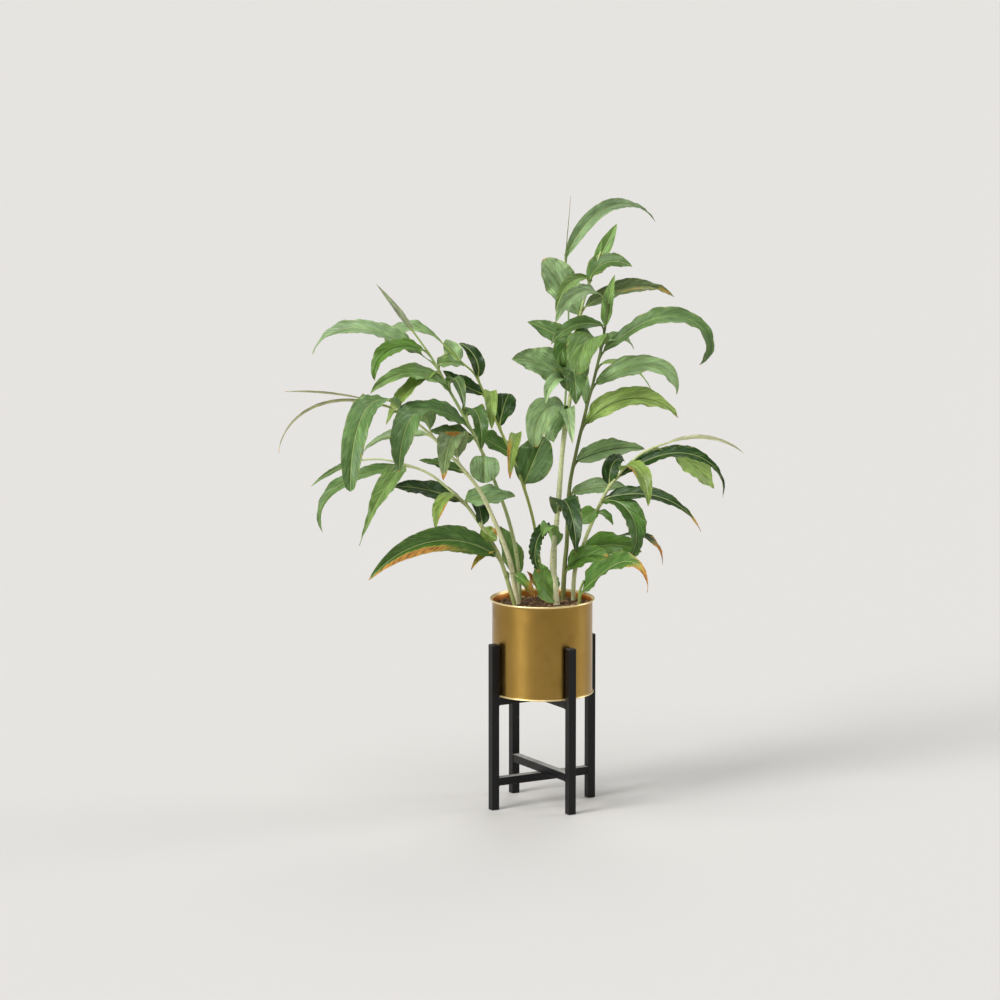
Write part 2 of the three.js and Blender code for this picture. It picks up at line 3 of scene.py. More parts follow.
import bmesh
import bpy
import numpy as np
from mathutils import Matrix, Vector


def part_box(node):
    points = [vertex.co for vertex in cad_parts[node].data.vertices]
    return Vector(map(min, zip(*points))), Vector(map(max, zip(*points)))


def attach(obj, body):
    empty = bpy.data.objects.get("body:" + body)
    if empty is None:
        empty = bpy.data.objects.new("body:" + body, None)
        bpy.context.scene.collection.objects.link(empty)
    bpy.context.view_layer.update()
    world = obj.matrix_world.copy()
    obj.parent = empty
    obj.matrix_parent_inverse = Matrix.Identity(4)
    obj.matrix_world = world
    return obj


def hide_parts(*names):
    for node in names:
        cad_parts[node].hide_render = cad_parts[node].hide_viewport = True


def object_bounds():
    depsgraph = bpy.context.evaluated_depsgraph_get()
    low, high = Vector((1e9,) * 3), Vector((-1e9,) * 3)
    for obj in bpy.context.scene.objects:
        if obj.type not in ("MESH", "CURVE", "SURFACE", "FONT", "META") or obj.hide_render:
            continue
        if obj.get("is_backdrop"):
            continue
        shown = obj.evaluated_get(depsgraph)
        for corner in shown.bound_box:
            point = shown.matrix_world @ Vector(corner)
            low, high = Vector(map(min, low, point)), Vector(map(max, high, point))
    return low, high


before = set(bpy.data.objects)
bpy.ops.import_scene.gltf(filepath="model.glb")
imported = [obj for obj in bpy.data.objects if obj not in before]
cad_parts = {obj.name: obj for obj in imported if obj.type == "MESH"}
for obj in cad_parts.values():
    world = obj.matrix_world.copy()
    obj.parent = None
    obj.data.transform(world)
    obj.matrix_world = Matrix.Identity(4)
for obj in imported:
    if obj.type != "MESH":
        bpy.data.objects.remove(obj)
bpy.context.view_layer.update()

# Camera. It stands 13 m in front of the planter and 3 m up, and looks a little down into it. The long
# lens keeps the legs of the stand nearly upright and the canes in their real proportions.
CAMERA_LEFT, CAMERA_AWAY, CAMERA_HEIGHT, CAMERA_DIP = 0.1029, 13.2677, 3.0717, 9.912
pot_low, pot_high = (np.array(corner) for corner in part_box("pot"))
axis_x, axis_y = (pot_low[:2] + pot_high[:2]) / 2
lens = bpy.data.cameras.new("camera")
lens.lens = 200
lens.sensor_width = 36
lens.clip_end = 200
camera = bpy.data.objects.new("camera", lens)
bpy.context.collection.objects.link(camera)
camera.location = (axis_x - CAMERA_LEFT, axis_y - CAMERA_AWAY, CAMERA_HEIGHT)
camera.rotation_euler = (math.radians(90 - CAMERA_DIP), 0, 0)
bpy.context.scene.camera = camera
bpy.context.scene.view_settings.view_transform = "Standard"


# Floor and light. The floor is one large pale matt sheet. A broad soft light stands to the left in
# front, weaker ones to the right and behind, and a wide one hangs overhead.
def add(tree, kind, inputs=None, **settings):
    """Adds a shader node. Its inputs are numbers, colours or the outputs of other nodes."""
    made = tree.nodes.new("ShaderNode" + kind)
    for key, value in settings.items():
        setattr(made, key, value)
    for key, value in (inputs or {}).items():
        if isinstance(value, bpy.types.NodeSocket):
            tree.links.new(value, made.inputs[key])
        else:
            made.inputs[key].default_value = value
    return made


def new_finish(name, roughness, metallic=0.0):
    """A new material: itself, its node tree, its surface shader and its Object coordinates."""
    material = bpy.data.materials.new(name)
    material.use_nodes = True
    tree = material.node_tree
    shader = tree.nodes["Principled BSDF"]
    shader.inputs["Roughness"].default_value = roughness
    shader.inputs["Metallic"].default_value = metallic
    return material, tree, shader, add(tree, "TexCoord").outputs["Object"]


def linear(red, green, blue):
    """An everyday screen colour, 0 to 255 a channel, as the light that the shaders reckon with."""
    screen = np.array([red, green, blue]) / 255
    return (*np.where(screen < 0.04045, screen / 12.92, ((screen + 0.055) / 1.055) ** 2.4), 1.0)


LEFT, RIGHT, NEAR, FAR = -40, 40, -25, 55
paper, _, shader, _ = new_finish("pale_floor", 0.9)
shader.inputs["Base Color"].default_value = linear(203, 201, 198)
sheet = bpy.data.meshes.new("floor")
corners = [(LEFT, NEAR, 0), (RIGHT, NEAR, 0), (RIGHT, FAR, 0), (LEFT, FAR, 0)]
sheet.from_pydata(corners, [], [(0, 1, 2, 3)])
sheet.materials.append(paper)
floor = bpy.data.objects.new("floor", sheet)
bpy.context.collection.objects.link(floor)
floor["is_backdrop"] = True

# Each lamp's azimuth, which is 0 in front of the planter and grows to its right, elevation and spread
# in degrees, and its strength
for name, azimuth, elevation, spread, strength in (
    ("left_light", -52, 26, 24, 2.6),
    ("right_light", 105, 20, 30, 1.1),
    ("top_light", -40, 66, 50, 1.6),
    ("back_light", 170, 50, 30, 0.7),
):
    lamp = bpy.data.lights.new(name, "SUN")
    lamp.energy = strength
    lamp.angle = math.radians(spread)
    light = bpy.data.objects.new(name, lamp)
    light.rotation_euler = (math.radians(90 - elevation), 0, math.radians(azimuth))
    bpy.context.collection.objects.link(light)
studio = bpy.data.worlds.new("studio")
studio.use_nodes = True
room_light = studio.node_tree.nodes["Background"]
room_light.inputs["Color"].default_value = (1.0, 0.99, 0.97, 1.0)
room_light.inputs["Strength"].default_value = 0.20
bpy.context.scene.world = studio


# Stand. Four legs and two crosses of 20 mm square steel tube, welded where they meet and
# powder-coated black. The coat has a fine orange peel. Its level faces are painted a paler grey,
# partly dust that has settled there and partly a painted sheen of light glancing off their tops.
def noise(tree, place, scale, detail=3.0, stretch=(1, 1, 1)):
    """Cloudy noise of so many cells a metre, drawn out along each axis by the stretch."""
    shrunk = tuple(1 / factor for factor in stretch)
    drawn_out = add(tree, "Mapping", {"Vector": place, "Scale": shrunk}).outputs[0]
    return add(tree, "TexNoise", {"Vector": drawn_out, "Scale": scale, "Detail": detail}).outputs[0]


def level(tree, value, low, high, start=0.0, end=1.0):
    """Start where value is under low, end where it is over high, and a smooth slope between."""
    bounds = {0: value, 1: low, 2: high, 3: start, 4: end}
    return add(tree, "MapRange", bounds, interpolation_type="SMOOTHSTEP").outputs[0]


def mixed(tree, share, first, second, way="MIX"):
    """The first colour where share is 0 and the second, or their blend of that way, where it is 1."""
    parts = {0: share, 6: first, 7: second}
    return add(tree, "Mix", parts, data_type="RGBA", blend_type=way).outputs[2]


def maths(tree, way, first, second=0.0, third=0.0):
    """One sum, product or other reckoning of up to three values."""
    return add(tree, "Math", {0: first, 1: second, 2: third}, operation=way).outputs[0]


def times(tree, first, second, more=None):
    """The product of two values, with more added to it if given."""
    way, third = ("MULTIPLY", 0.0) if more is None else ("MULTIPLY_ADD", more)
    return maths(tree, way, first, second, third)


def bumped(tree, shader, strength, depth, height):
    """Gives the surface a relief of that height, so strong and so deep, and returns it."""
    relief = add(tree, "Bump", {"Strength": strength, "Distance": depth, "Height": height}).outputs[0]
    tree.links.new(relief, shader.inputs["Normal"])
    return relief


CORNERS = ("front_left", "back_right", "front_right", "back_left")
BARS = ("upper_cross_long", "upper_cross_short_front", "upper_cross_short_back",
        "lower_cross_top_bar", "lower_cross_bottom_bar")
COAT_BLACK, DUST_AND_SHEEN_GREY = linear(8, 8, 9), linear(166, 165, 162)
PEEL_CELLS, PEEL_DEPTH = 900, 0.0002
black_coat, tree, shader, place = new_finish("black_powder_coat", 0.42)
shader.inputs["Specular IOR Level"].default_value = 0.3
upward = add(tree, "SeparateXYZ", {0: add(tree, "NewGeometry").outputs["Normal"]}).outputs[2]
# Level faces turn paler grey: partly dust, partly a painted sheen of the light glancing off them
dust_and_sheen = times(tree, level(tree, noise(tree, place, 60), 0.1, 0.5, 0.5, 0.9),
             level(tree, upward, 0.5, 1.0))
tree.links.new(mixed(tree, dust_and_sheen, COAT_BLACK, DUST_AND_SHEEN_GREY), shader.inputs["Base Color"])
shine = level(tree, noise(tree, place, 25), 0.2, 0.8, 0.36, 0.46)
tree.links.new(shine, shader.inputs["Roughness"])
peel = noise(tree, place, PEEL_CELLS, 2)
bumped(tree, shader, 0.25, PEEL_DEPTH, peel)
for name in [f"leg_{corner}" for corner in CORNERS] + list(BARS):
    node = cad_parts[name]
    node.data.materials.clear()
    node.data.materials.append(black_coat)


# Weld beads. A small bead of rippled weld runs down both sides and along the underside of every
# bar where it meets a leg, and where the short bars of the upper cross meet the long one.
def grid_faces(rows, columns):
    """The four-sided faces of a grid of points, row by row, whose last column meets the first. A
    face points along its column direction crossed with its row direction."""
    i, j = np.meshgrid(np.arange(rows - 1), np.arange(columns), indexing="ij")
    k = (j + 1) % columns
    corners = [i * columns + j, i * columns + k, (i + 1) * columns + k, (i + 1) * columns + j]
    return np.stack(corners, -1).reshape(-1, 4)


def new_piece(name, points, faces, material, slot, replaced=(), values=None):
    """A piece from points and four-sided faces, with single values or colours at its points if
    given. Points that coincide, such as at a pole, are merged. It rides on the one body."""
    MERGED_WITHIN, SHARP_OVER = 1e-6, 50
    mesh = bpy.data.meshes.new(name)
    mesh.vertices.add(len(points))
    mesh.vertices.foreach_set("co", np.ascontiguousarray(points, np.float32).ravel())
    mesh.loops.add(faces.size)
    mesh.loops.foreach_set("vertex_index", faces.ravel().astype(np.int32))
    mesh.polygons.add(len(faces))
    mesh.polygons.foreach_set("loop_start", np.arange(0, faces.size, 4, dtype=np.int32))
    mesh.polygons.foreach_set("use_smooth", np.ones(len(faces), bool))
    for key, value in (values or {}).items():
        kind, field = "FLOAT", "value"
        if value.ndim > 1:
            kind, field, value = "FLOAT_COLOR", "color", np.column_stack([value, np.ones(len(value))])
        layer = mesh.attributes.new(key, kind, "POINT")
        layer.data.foreach_set(field, value.astype(np.float32).ravel())
    mesh.update()
    shape = bmesh.new()
    shape.from_mesh(mesh)
    bmesh.ops.remove_doubles(shape, verts=shape.verts, dist=MERGED_WITHIN)
    shape.to_mesh(mesh)
    shape.free()
    mesh.set_sharp_from_angle(angle=math.radians(SHARP_OVER))
    mesh.materials.append(material)
    piece = bpy.data.objects.new(name, mesh)
    bpy.context.collection.objects.link(piece)
    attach(piece, "root")
    if replaced:
        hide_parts(*replaced)


def tube(centres, radii, sides, up=(0, 1, 0)):
    """A round tube along a path: at each centre a circle across the path, of that place's radius.
    Its two ends close to a point on the path. Up is any direction that the path doesn't take."""
    centres = np.vstack([centres[:1], centres, centres[-1:]])
    radii = np.r_[0, radii, 0]
    along = np.gradient(centres, axis=0)
    along[0], along[-1] = along[1], along[-2]
    along /= np.linalg.norm(along, axis=1)[:, None]
    side = np.cross(np.array(up, float), along)
    side /= np.linalg.norm(side, axis=1)[:, None]
    other = np.cross(along, side)
    angle = 2 * np.pi * np.arange(sides) / sides
    ring = side[:, None] * np.cos(angle)[:, None] + other[:, None] * np.sin(angle)[:, None]
    points = centres[:, None] + ring * radii[:, None, None]
    return points.reshape(-1, 3), grid_faces(len(centres), sides)


def joined(parts):
    """Several sets of points and faces as one."""
    start = np.cumsum([0] + [len(points) for points, _ in parts[:-1]])
    faces = [own + first for (_, own), first in zip(parts, start)]
    return np.vstack([points for points, _ in parts]), np.vstack(faces)


# The tube's width and corner radius, the gap between pieces that rest on each other, and how far
# the legs' inner faces stand from the stand's axis
TUBE, TUBE_CORNER, BAR_GAP, LEG_FACE = 0.020, 0.0015, 0.0003, 0.126
BEAD, BEAD_SHIFT, SWELLS, SWELL_SHARE = 0.0013, 0.0004, 14, 0.14
yaw = math.radians(30)


def weld(angle, distance, top, inward):
    """A U-shaped bead round the lower three sides of a bar that runs out at an angle from the
    stand's axis, at a distance along it: down one side, along the underside and up the other.
    The bead swells and thins 14 times on its way, as laid drops do."""
    side, low, start = TUBE / 2, top - TUBE, top - 0.001
    turn = np.radians(np.linspace(180, 270, 7))
    left = np.column_stack([-side + TUBE_CORNER + TUBE_CORNER * np.cos(turn),
                            low + TUBE_CORNER + TUBE_CORNER * np.sin(turn)])
    right = [[-x, z] for x, z in left[::-1]]
    route = np.vstack([[-side, start], left, right, [side, start]])
    walked = np.cumsum(np.r_[0, np.hypot(*np.diff(route, axis=0).T)])
    even = np.linspace(0, walked[-1], 8 * SWELLS + 1)
    across, height = (np.interp(even, walked, route[:, k]) for k in (0, 1))
    out = distance + BEAD_SHIFT * inward
    x = axis_x + out * np.cos(angle) - across * np.sin(angle)
    y = axis_y + out * np.sin(angle) + across * np.cos(angle)
    radii = BEAD * (1 + SWELL_SHARE * np.sin(2 * SWELLS * np.pi * even / walked[-1]))
    return tube(np.column_stack([x, y, height]), radii, 10, up=(math.cos(angle), math.sin(angle), 0.01))


quarter = math.pi / 2
upper_top = pot_low[2] - BAR_GAP
lower_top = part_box("lower_cross_top_bar")[1][2]
beads = [weld(yaw + k * quarter, LEG_FACE, upper_top, -1) for k in range(4)]
beads += [weld(yaw + k * quarter, TUBE / 2, upper_top, 1) for k in (1, 3)]
new_piece("upper_cross_welds", *joined(beads), black_coat, "black_steel")
beads = [weld(yaw + k * quarter, LEG_FACE, lower_top, -1) for k in (1, 3)]
beads += [weld(yaw + k * quarter, LEG_FACE, lower_top - TUBE - BAR_GAP, -1) for k in (0, 2)]
new_piece("lower_cross_welds", *joined(beads), black_coat, "black_steel")


# End caps. A moulded black plastic cap closes each end of every leg. Its plate is as wide as the tube,
# rounded over its outer edge, and a plug that tapers a little holds it inside the tube.
CAP_SIDES = 40
# Height over the outer face, half width and corner radius of each ring, from the face in
CAP_RINGS = (
    (0, 0, 0), (0, 0.0088, 0.0012), (0.0002, 0.0094, 0.0014), (0.0007, 0.0099, 0.0015),
    (0.0012, 0.0100, 0.0015), (0.0019, 0.0100, 0.0015), (0.0020, 0.0084, 0.0006),
    (0.0098, 0.0082, 0.0006), (0.0100, 0.0078, 0.0006), (0.0100, 0, 0),
)
CAP_BLACK, SCUFF_GREY = linear(40, 39, 38), linear(96, 93, 90)
cap_plastic, tree, shader, place = new_finish("black_cap_plastic", 0.55)
scuffs = times(tree, level(tree, noise(tree, place, 150, 4), 0.5, 0.7), 0.3)
tree.links.new(mixed(tree, scuffs, CAP_BLACK, SCUFF_GREY), shader.inputs["Base Color"])
grain = noise(tree, place, 2500, 2)
bumped(tree, shader, 0.3, 0.0001, grain)


def rounded_square(half, corner):
    """Points round a square with rounded corners: each is where a circle of the corner's radius,
    moved to the nearest inner corner, is met at an even angle."""
    angle = 2 * np.pi * (np.arange(CAP_SIDES) + 0.5) / CAP_SIDES
    inner = half - corner
    return np.column_stack([np.sign(np.cos(angle)) * inner + corner * np.cos(angle),
                            np.sign(np.sin(angle)) * inner + corner * np.sin(angle)])


for corner in CORNERS:
    for end, flip in (("foot", 1), ("top", -1)):
        name = f"{end}_cap_{corner}"
        low, high = (np.array(point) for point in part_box(name))
        face = low[2] if flip > 0 else high[2]
        centre = (low + high) / 2
        points = []
        for height, half, radius in CAP_RINGS:
            flat = rounded_square(half, radius) if half else np.zeros((CAP_SIDES, 2))
            x = centre[0] + flat[:, 0] * math.cos(yaw) - flat[:, 1] * math.sin(yaw)
            y = centre[1] + flat[:, 0] * math.sin(yaw) + flat[:, 1] * math.cos(yaw)
            points.append(np.column_stack([x, y, np.full(CAP_SIDES, face + flip * height)]))
        faces = grid_faces(len(CAP_RINGS), CAP_SIDES)
        faces = faces if flip > 0 else faces[:, ::-1]
        new_piece(f"{name}_moulding", np.vstack(points), faces, cap_plastic, "black_plastic", (name,))


# Planter. A can spun from thin sheet with a rolled bead round its rim and a smaller one round its
# foot, brushed and lacquered in a satin gold. Both beads are painted paler and less metallic, a
# painted highlight of the light they catch from above. The inside wall is painted a warmer orange
# and is less metallic, a painted reflection of the light thrown between the gold walls.
WALL_RADIUS, WALL, FLOOR = 0.122, 0.0015, 0.002
RIM_RADIUS, RIM_BEAD, FOOT_RADIUS, FOOT_BEAD = 0.1255, 0.0022, 0.1234, 0.0018
PLANTER_SIDES, DENT = 192, 0.00012
GOLD, LIGHT_GOLD, SMEARED_GOLD = linear(156, 124, 60), linear(166, 133, 68), linear(140, 108, 52)
INNER_REFLECTION_GOLD, BEAD_HIGHLIGHT_GOLD = linear(236, 158, 76), linear(250, 226, 166)


def bead_arc(radius, height, bead, start, end, count):
    """Points round part of a bead's circle, from one angle to another."""
    angle = np.radians(np.linspace(start, end, count))
    return np.column_stack([radius + bead * np.cos(angle), height + bead * np.sin(angle)])


def straight_wall(radius, start, end, count):
    """Points at one radius, evenly from one height to another."""
    return np.column_stack([np.full(count, radius), np.linspace(start, end, count)])


def turned(profile):
    """A profile of radius and height carried once round the planter's axis. The wall is pushed in and
    out by up to a quarter of a millimetre in slow waves, which fade towards its rim and foot."""
    angle = 2 * np.pi * np.arange(PLANTER_SIDES) / PLANTER_SIDES
    radius, height = profile[:, :1], profile[:, 1:]
    wave = (np.sin(3 * angle + 1.1) + 0.6 * np.sin(7 * angle + 40 * height)
            + 0.4 * np.cos(11 * angle - 25 * height))
    fade = np.sin(np.pi * np.clip((height - pot_low[2]) / (pot_high[2] - pot_low[2]), 0, 1))
    radius = radius + DENT * wave * fade * (radius > 0.5 * WALL_RADIUS)
    x, y = axis_x + radius * np.cos(angle), axis_y + radius * np.sin(angle)
    points = np.stack([x, y, np.broadcast_to(height, x.shape)], -1).reshape(-1, 3)
    return points, grid_faces(len(profile), PLANTER_SIDES)


rim, foot, base = pot_high[2] - RIM_BEAD, pot_low[2] + FOOT_BEAD, pot_low[2]
outside = np.vstack([
    [[0, base + 0.0008], [0.1190, base + 0.0008], [0.1210, base + 0.0004]],
    bead_arc(FOOT_RADIUS, foot, FOOT_BEAD, -100, 130, 14),
    [[WALL_RADIUS + 0.0001, foot + 0.0025]],
    straight_wall(WALL_RADIUS, foot + 0.004, rim - 0.005, 40),
    [[WALL_RADIUS + 0.0002, rim - 0.0035], [WALL_RADIUS + 0.0008, rim - 0.0022]],
    bead_arc(RIM_RADIUS, rim, RIM_BEAD, -140, 165, 18),
    [[WALL_RADIUS + 0.0006, rim + 0.0004]],
])
inside = np.vstack([
    [[WALL_RADIUS - 0.0008, rim - 0.0012]],
    straight_wall(WALL_RADIUS - WALL, rim - 0.003, base + 0.004, 30),
    [[WALL_RADIUS - 0.0030, base + FLOOR + 0.0004], [WALL_RADIUS - 0.0050, base + FLOOR]],
    [[0, base + FLOOR]],
])
profile = np.vstack([outside, inside])
within = np.repeat(np.arange(len(profile)) >= len(outside), PLANTER_SIDES)
gold, tree, shader, place = new_finish("satin_gold", 0.36, 1.0)
shader.inputs["Anisotropic"].default_value = 0.6
shader.inputs["Anisotropic Rotation"].default_value = 0.25
outward = add(tree, "VectorMath", {0: place, 1: (axis_x, axis_y, 0)}, operation="SUBTRACT").outputs[0]
round_wall = add(tree, "VectorMath", {0: (0, 0, 1), 1: outward}, operation="CROSS_PRODUCT").outputs[0]
tree.links.new(round_wall, shader.inputs["Tangent"])
rise = add(tree, "SeparateXYZ", {0: place}).outputs[2]
within_wall = add(tree, "Attribute", attribute_name="within").outputs["Fac"]
brushing = noise(tree, place, 700, 3, (1, 1, 60))
clouds = noise(tree, place, 9, 4)
smears = level(tree, noise(tree, place, 24, 5), 0.52, 0.72)
colour = mixed(tree, level(tree, clouds, 0.3, 0.7), GOLD, LIGHT_GOLD)
colour = mixed(tree, times(tree, smears, 0.25), colour, SMEARED_GOLD)
# Both beads are painted pale gold and less metallic: a painted highlight of the light from above
bead_highlight = maths(tree, "ADD", level(tree, rise, pot_high[2] - 0.006, pot_high[2] - 0.004),
               level(tree, rise, base + 0.003, base + 0.005, 1.0, 0.0))
# The inside wall is painted warm orange and made less metallic: a painted reflection of the gold walls
colour = mixed(tree, within_wall, colour, INNER_REFLECTION_GOLD)
colour = mixed(tree, bead_highlight, colour, BEAD_HIGHLIGHT_GOLD)
tree.links.new(colour, shader.inputs["Base Color"])
dullness = maths(tree, "ADD", level(tree, brushing, 0.3, 0.7, 0.28, 0.36),
                 times(tree, smears, 0.08))
tree.links.new(dullness, shader.inputs["Roughness"])
# Less metallic on the beads and the inside wall, so that their painted highlight and painted reflection
# show
bare = times(tree, bead_highlight, -0.35, times(tree, within_wall, -0.25, 1.0))
tree.links.new(bare, shader.inputs["Metallic"])
bumped(tree, shader, 0.15, 0.0001, brushing)
new_piece("planter", *turned(profile), gold, "gold_metal", ("pot",), {"within": within})


# Soil. Dark potting soil of peat and shredded bark fills the planter to 14 mm under the rim's bead,
# mounded a little round the canes. Loose crumbs and lighter chips of bark lie over it.
SOIL_RADIUS = WALL_RADIUS - WALL - 0.0005
RINGS, AROUND = 110, 240
PEAT, BARK = linear(108, 80, 54), linear(204, 164, 114)
GRIT_SHADE, DAMP_PEAT = linear(60, 44, 32), linear(54, 37, 25)
soil_level = rim - 0.014


def ripples(x, y, count, shortest, longest, seed):
    """An uneven surface: the sum of so many plane waves in random directions, with lengths between
    the shortest and the longest, each as high as a sixteenth of its length, divided by the square
    root of their count."""
    source = np.random.default_rng(seed)
    length = source.uniform(shortest, longest, count)
    heading, phase = source.uniform(0, 2 * np.pi, (2, count))
    travel = x[..., None] * np.cos(heading) + y[..., None] * np.sin(heading)
    return (length / 16 * np.sin(2 * np.pi * travel / length + phase)).sum(-1) / np.sqrt(count)


def mound(share):
    """How far the soil stands over its level, by the share of the way from its middle to the wall."""
    return np.interp(share, [0, 0.6, 0.9, 1], [0.0018, 0, -0.0012, -0.006])


def bumps(x, y):
    """The soil's bumps: 14 broad waves and 40 fine ones."""
    return ripples(x, y, 14, 0.012, 0.04, 3) + ripples(x, y, 40, 0.003, 0.009, 4)


def level_ring(share, height):
    """One ring of points at a share of the soil's radius, all at one height."""
    return np.stack([share * SOIL_RADIUS * np.cos(angle), share * SOIL_RADIUS * np.sin(angle),
                     np.full(AROUND, height)], -1)


reach = np.linspace(0, 1, RINGS)
angle = 2 * np.pi * np.arange(AROUND) / AROUND
x = SOIL_RADIUS * reach[:, None] * np.cos(angle)
y = SOIL_RADIUS * reach[:, None] * np.sin(angle)
fade = np.clip((1 - reach) / 0.05, 0, 1)[:, None]
top = np.stack([x, y, soil_level + mound(reach)[:, None] + bumps(x, y) * fade], -1)[::-1]
under = base + FLOOR + 0.0003
sides = np.stack([level_ring(0, under), level_ring(1, under),
                  level_ring(1, soil_level - 0.1), level_ring(1, soil_level - 0.012)])
body = np.concatenate([sides, top])
parts = [(body.reshape(-1, 3), grid_faces(len(body), AROUND))]
tones = [np.zeros(len(body) * AROUND)]


def crumbs(count, size, flatness, tone, seed):
    """Loose pieces on the soil: round grids of 7 by 9 points, pushed in and out at random, flattened,
    turned and dropped at random places, each sunk by a third of its height."""
    source = np.random.default_rng(seed)
    rows, columns = 7, 9
    lat, lon = np.pi * np.arange(rows) / (rows - 1), 2 * np.pi * np.arange(columns) / columns
    ball = np.stack([np.sin(lat)[:, None] * np.cos(lon), np.sin(lat)[:, None] * np.sin(lon),
                     np.cos(lat)[:, None] * np.ones(columns)], -1)
    lumpy = source.uniform(0.72, 1.25, (count, rows, columns, 1))
    # The points at each pole stay one
    lumpy[:, [0, -1]] = lumpy[:, [0, -1], :1]
    sizes = size * source.lognormal(0, 0.35, (count, 1, 1, 1))
    shape = ball * lumpy * sizes * np.array([1, flatness ** 0.5, flatness])
    tilt, spin = source.normal(0, 0.35, count), source.uniform(0, 2 * np.pi, count)
    tilt_cos, tilt_sin, spin_cos, spin_sin = np.cos(tilt), np.sin(tilt), np.cos(spin), np.sin(spin)
    turn = np.stack([np.stack([spin_cos * tilt_cos, -spin_sin, spin_cos * tilt_sin], -1),
                     np.stack([spin_sin * tilt_cos, spin_cos, spin_sin * tilt_sin], -1),
                     np.stack([-tilt_sin, 0 * tilt_sin, tilt_cos], -1)], 1)
    shape = np.einsum("nij,nabj->nabi", turn, shape)
    away = (SOIL_RADIUS - 0.006) * np.sqrt(source.uniform(0, 1, count))
    where = source.uniform(0, 2 * np.pi, count)
    x, y = away * np.cos(where), away * np.sin(where)
    ground = soil_level + mound(away / SOIL_RADIUS) + bumps(x, y)
    lift = ground + sizes[:, 0, 0, 0] * flatness * 0.35
    points = (shape + np.stack([x, y, lift], -1)[:, None, None]).reshape(-1, 3)
    faces = grid_faces(rows, columns)[:, ::-1]
    faces = (faces[None] + rows * columns * np.arange(count)[:, None, None]).reshape(-1, 4)
    shades = np.clip(tone + source.normal(0, 0.12, count), 0.02, 1)
    return (points, faces), np.repeat(shades, rows * columns)


# Count, mean radius, flatness, how light, and seed of the crumbs, the bits of bark and the chips
for request in ((700, 0.0016, 0.7, 0.15, 5), (260, 0.003, 0.6, 0.3, 6), (70, 0.0055, 0.35, 0.75, 7)):
    part, tone = crumbs(*request)
    parts.append(part)
    tones.append(tone)
points, faces = joined(parts)
points = points + np.array([axis_x, axis_y, 0])
potting_mix, tree, shader, place = new_finish("potting_soil", 0.95)
tone = add(tree, "Attribute", attribute_name="tone").outputs["Fac"]
grit = noise(tree, place, 500, 6)
damp = level(tree, noise(tree, place, 60, 4), 0.35, 0.65, 0.0, 0.5)
colour = mixed(tree, tone, PEAT, BARK)
colour = mixed(tree, level(tree, grit, 0.4, 0.75, 0.0, 0.8), colour, GRIT_SHADE, "MULTIPLY")
colour = mixed(tree, damp, colour, DAMP_PEAT)
tree.links.new(colour, shader.inputs["Base Color"])
bumped(tree, shader, 0.8, 0.0012, grit)
new_piece("potting_soil", points, faces, potting_mix, "soil", ("soil",), {"tone": np.concatenate(tones)})


# Cane A. A tall cane that leans to the left. Its leaves stand in two ranks, and their sheaths wrap it
# round. It stands in the soil, rooted below.
# Lengths are in millimetres: how deep a cane stands in the soil, how far below its leaf a stalk
# leaves the cane, and how far along the leaf the stalk reaches
SINK, STALK_ROOT, STALK_REACH = 45, 30, 17
# How far each half of a leaf folds up, and how far a side vein runs along the leaf for each step out
FOLD, VEIN_SLOPE = math.radians(18), 2.6
# The dry tip, midrib, bare stalk, skew and taper of the usual leaf, where its row leaves them out
USUAL = (0.01, 0.6, 0.05, 0.72, 0.8)
GREENS = {
    "dark": (43, 80, 21), "mid": (90, 130, 54), "shade": (98, 132, 68), "dull": (124, 146, 92),
    "soft": (112, 148, 84), "leaf": (132, 167, 91), "fresh": (108, 152, 60), "spring": (138, 184, 88),
    "lime": (150, 180, 84), "bright": (192, 222, 128), "bloom": (148, 178, 122),
    "silver": (176, 208, 148), "pale": (168, 178, 148), "cream": (192, 190, 158),
    "straw": (152, 148, 112), "yellow": (222, 200, 90),
}


def cane_line(route):
    """The middle line of a cane through its route and 45 mm on into the soil: the point at each share
    of its length, and its length. Between two places it is the cubic that leaves each of them in
    the direction from the place before to the place after."""
    route = np.array(route, float)
    start = route[1] - route[0]
    route = np.vstack([route[0] - SINK * start / np.linalg.norm(start), route])
    ends = np.vstack([2 * route[0] - route[1], route, 2 * route[-1] - route[-2]])

    def at(steps):
        place = np.asarray(steps) * (len(route) - 1)
        i = np.minimum(place.astype(int), len(route) - 2)
        w = (place - i)[:, None]
        first, last = ends[i + 1], ends[i + 2]
        leave, arrive = (last - ends[i]) / 2, (ends[i + 3] - first) / 2
        return (first + leave * w + (3 * (last - first) - 2 * leave - arrive) * w ** 2
                + (2 * (first - last) + leave + arrive) * w ** 3)

    steps = np.linspace(0, 1, 201)
    walked = np.r_[0, np.cumsum(np.linalg.norm(np.diff(at(steps), axis=0), axis=1))]
    return lambda shares: at(np.interp(np.atleast_1d(shares) * walked[-1], walked, steps)), walked[-1]


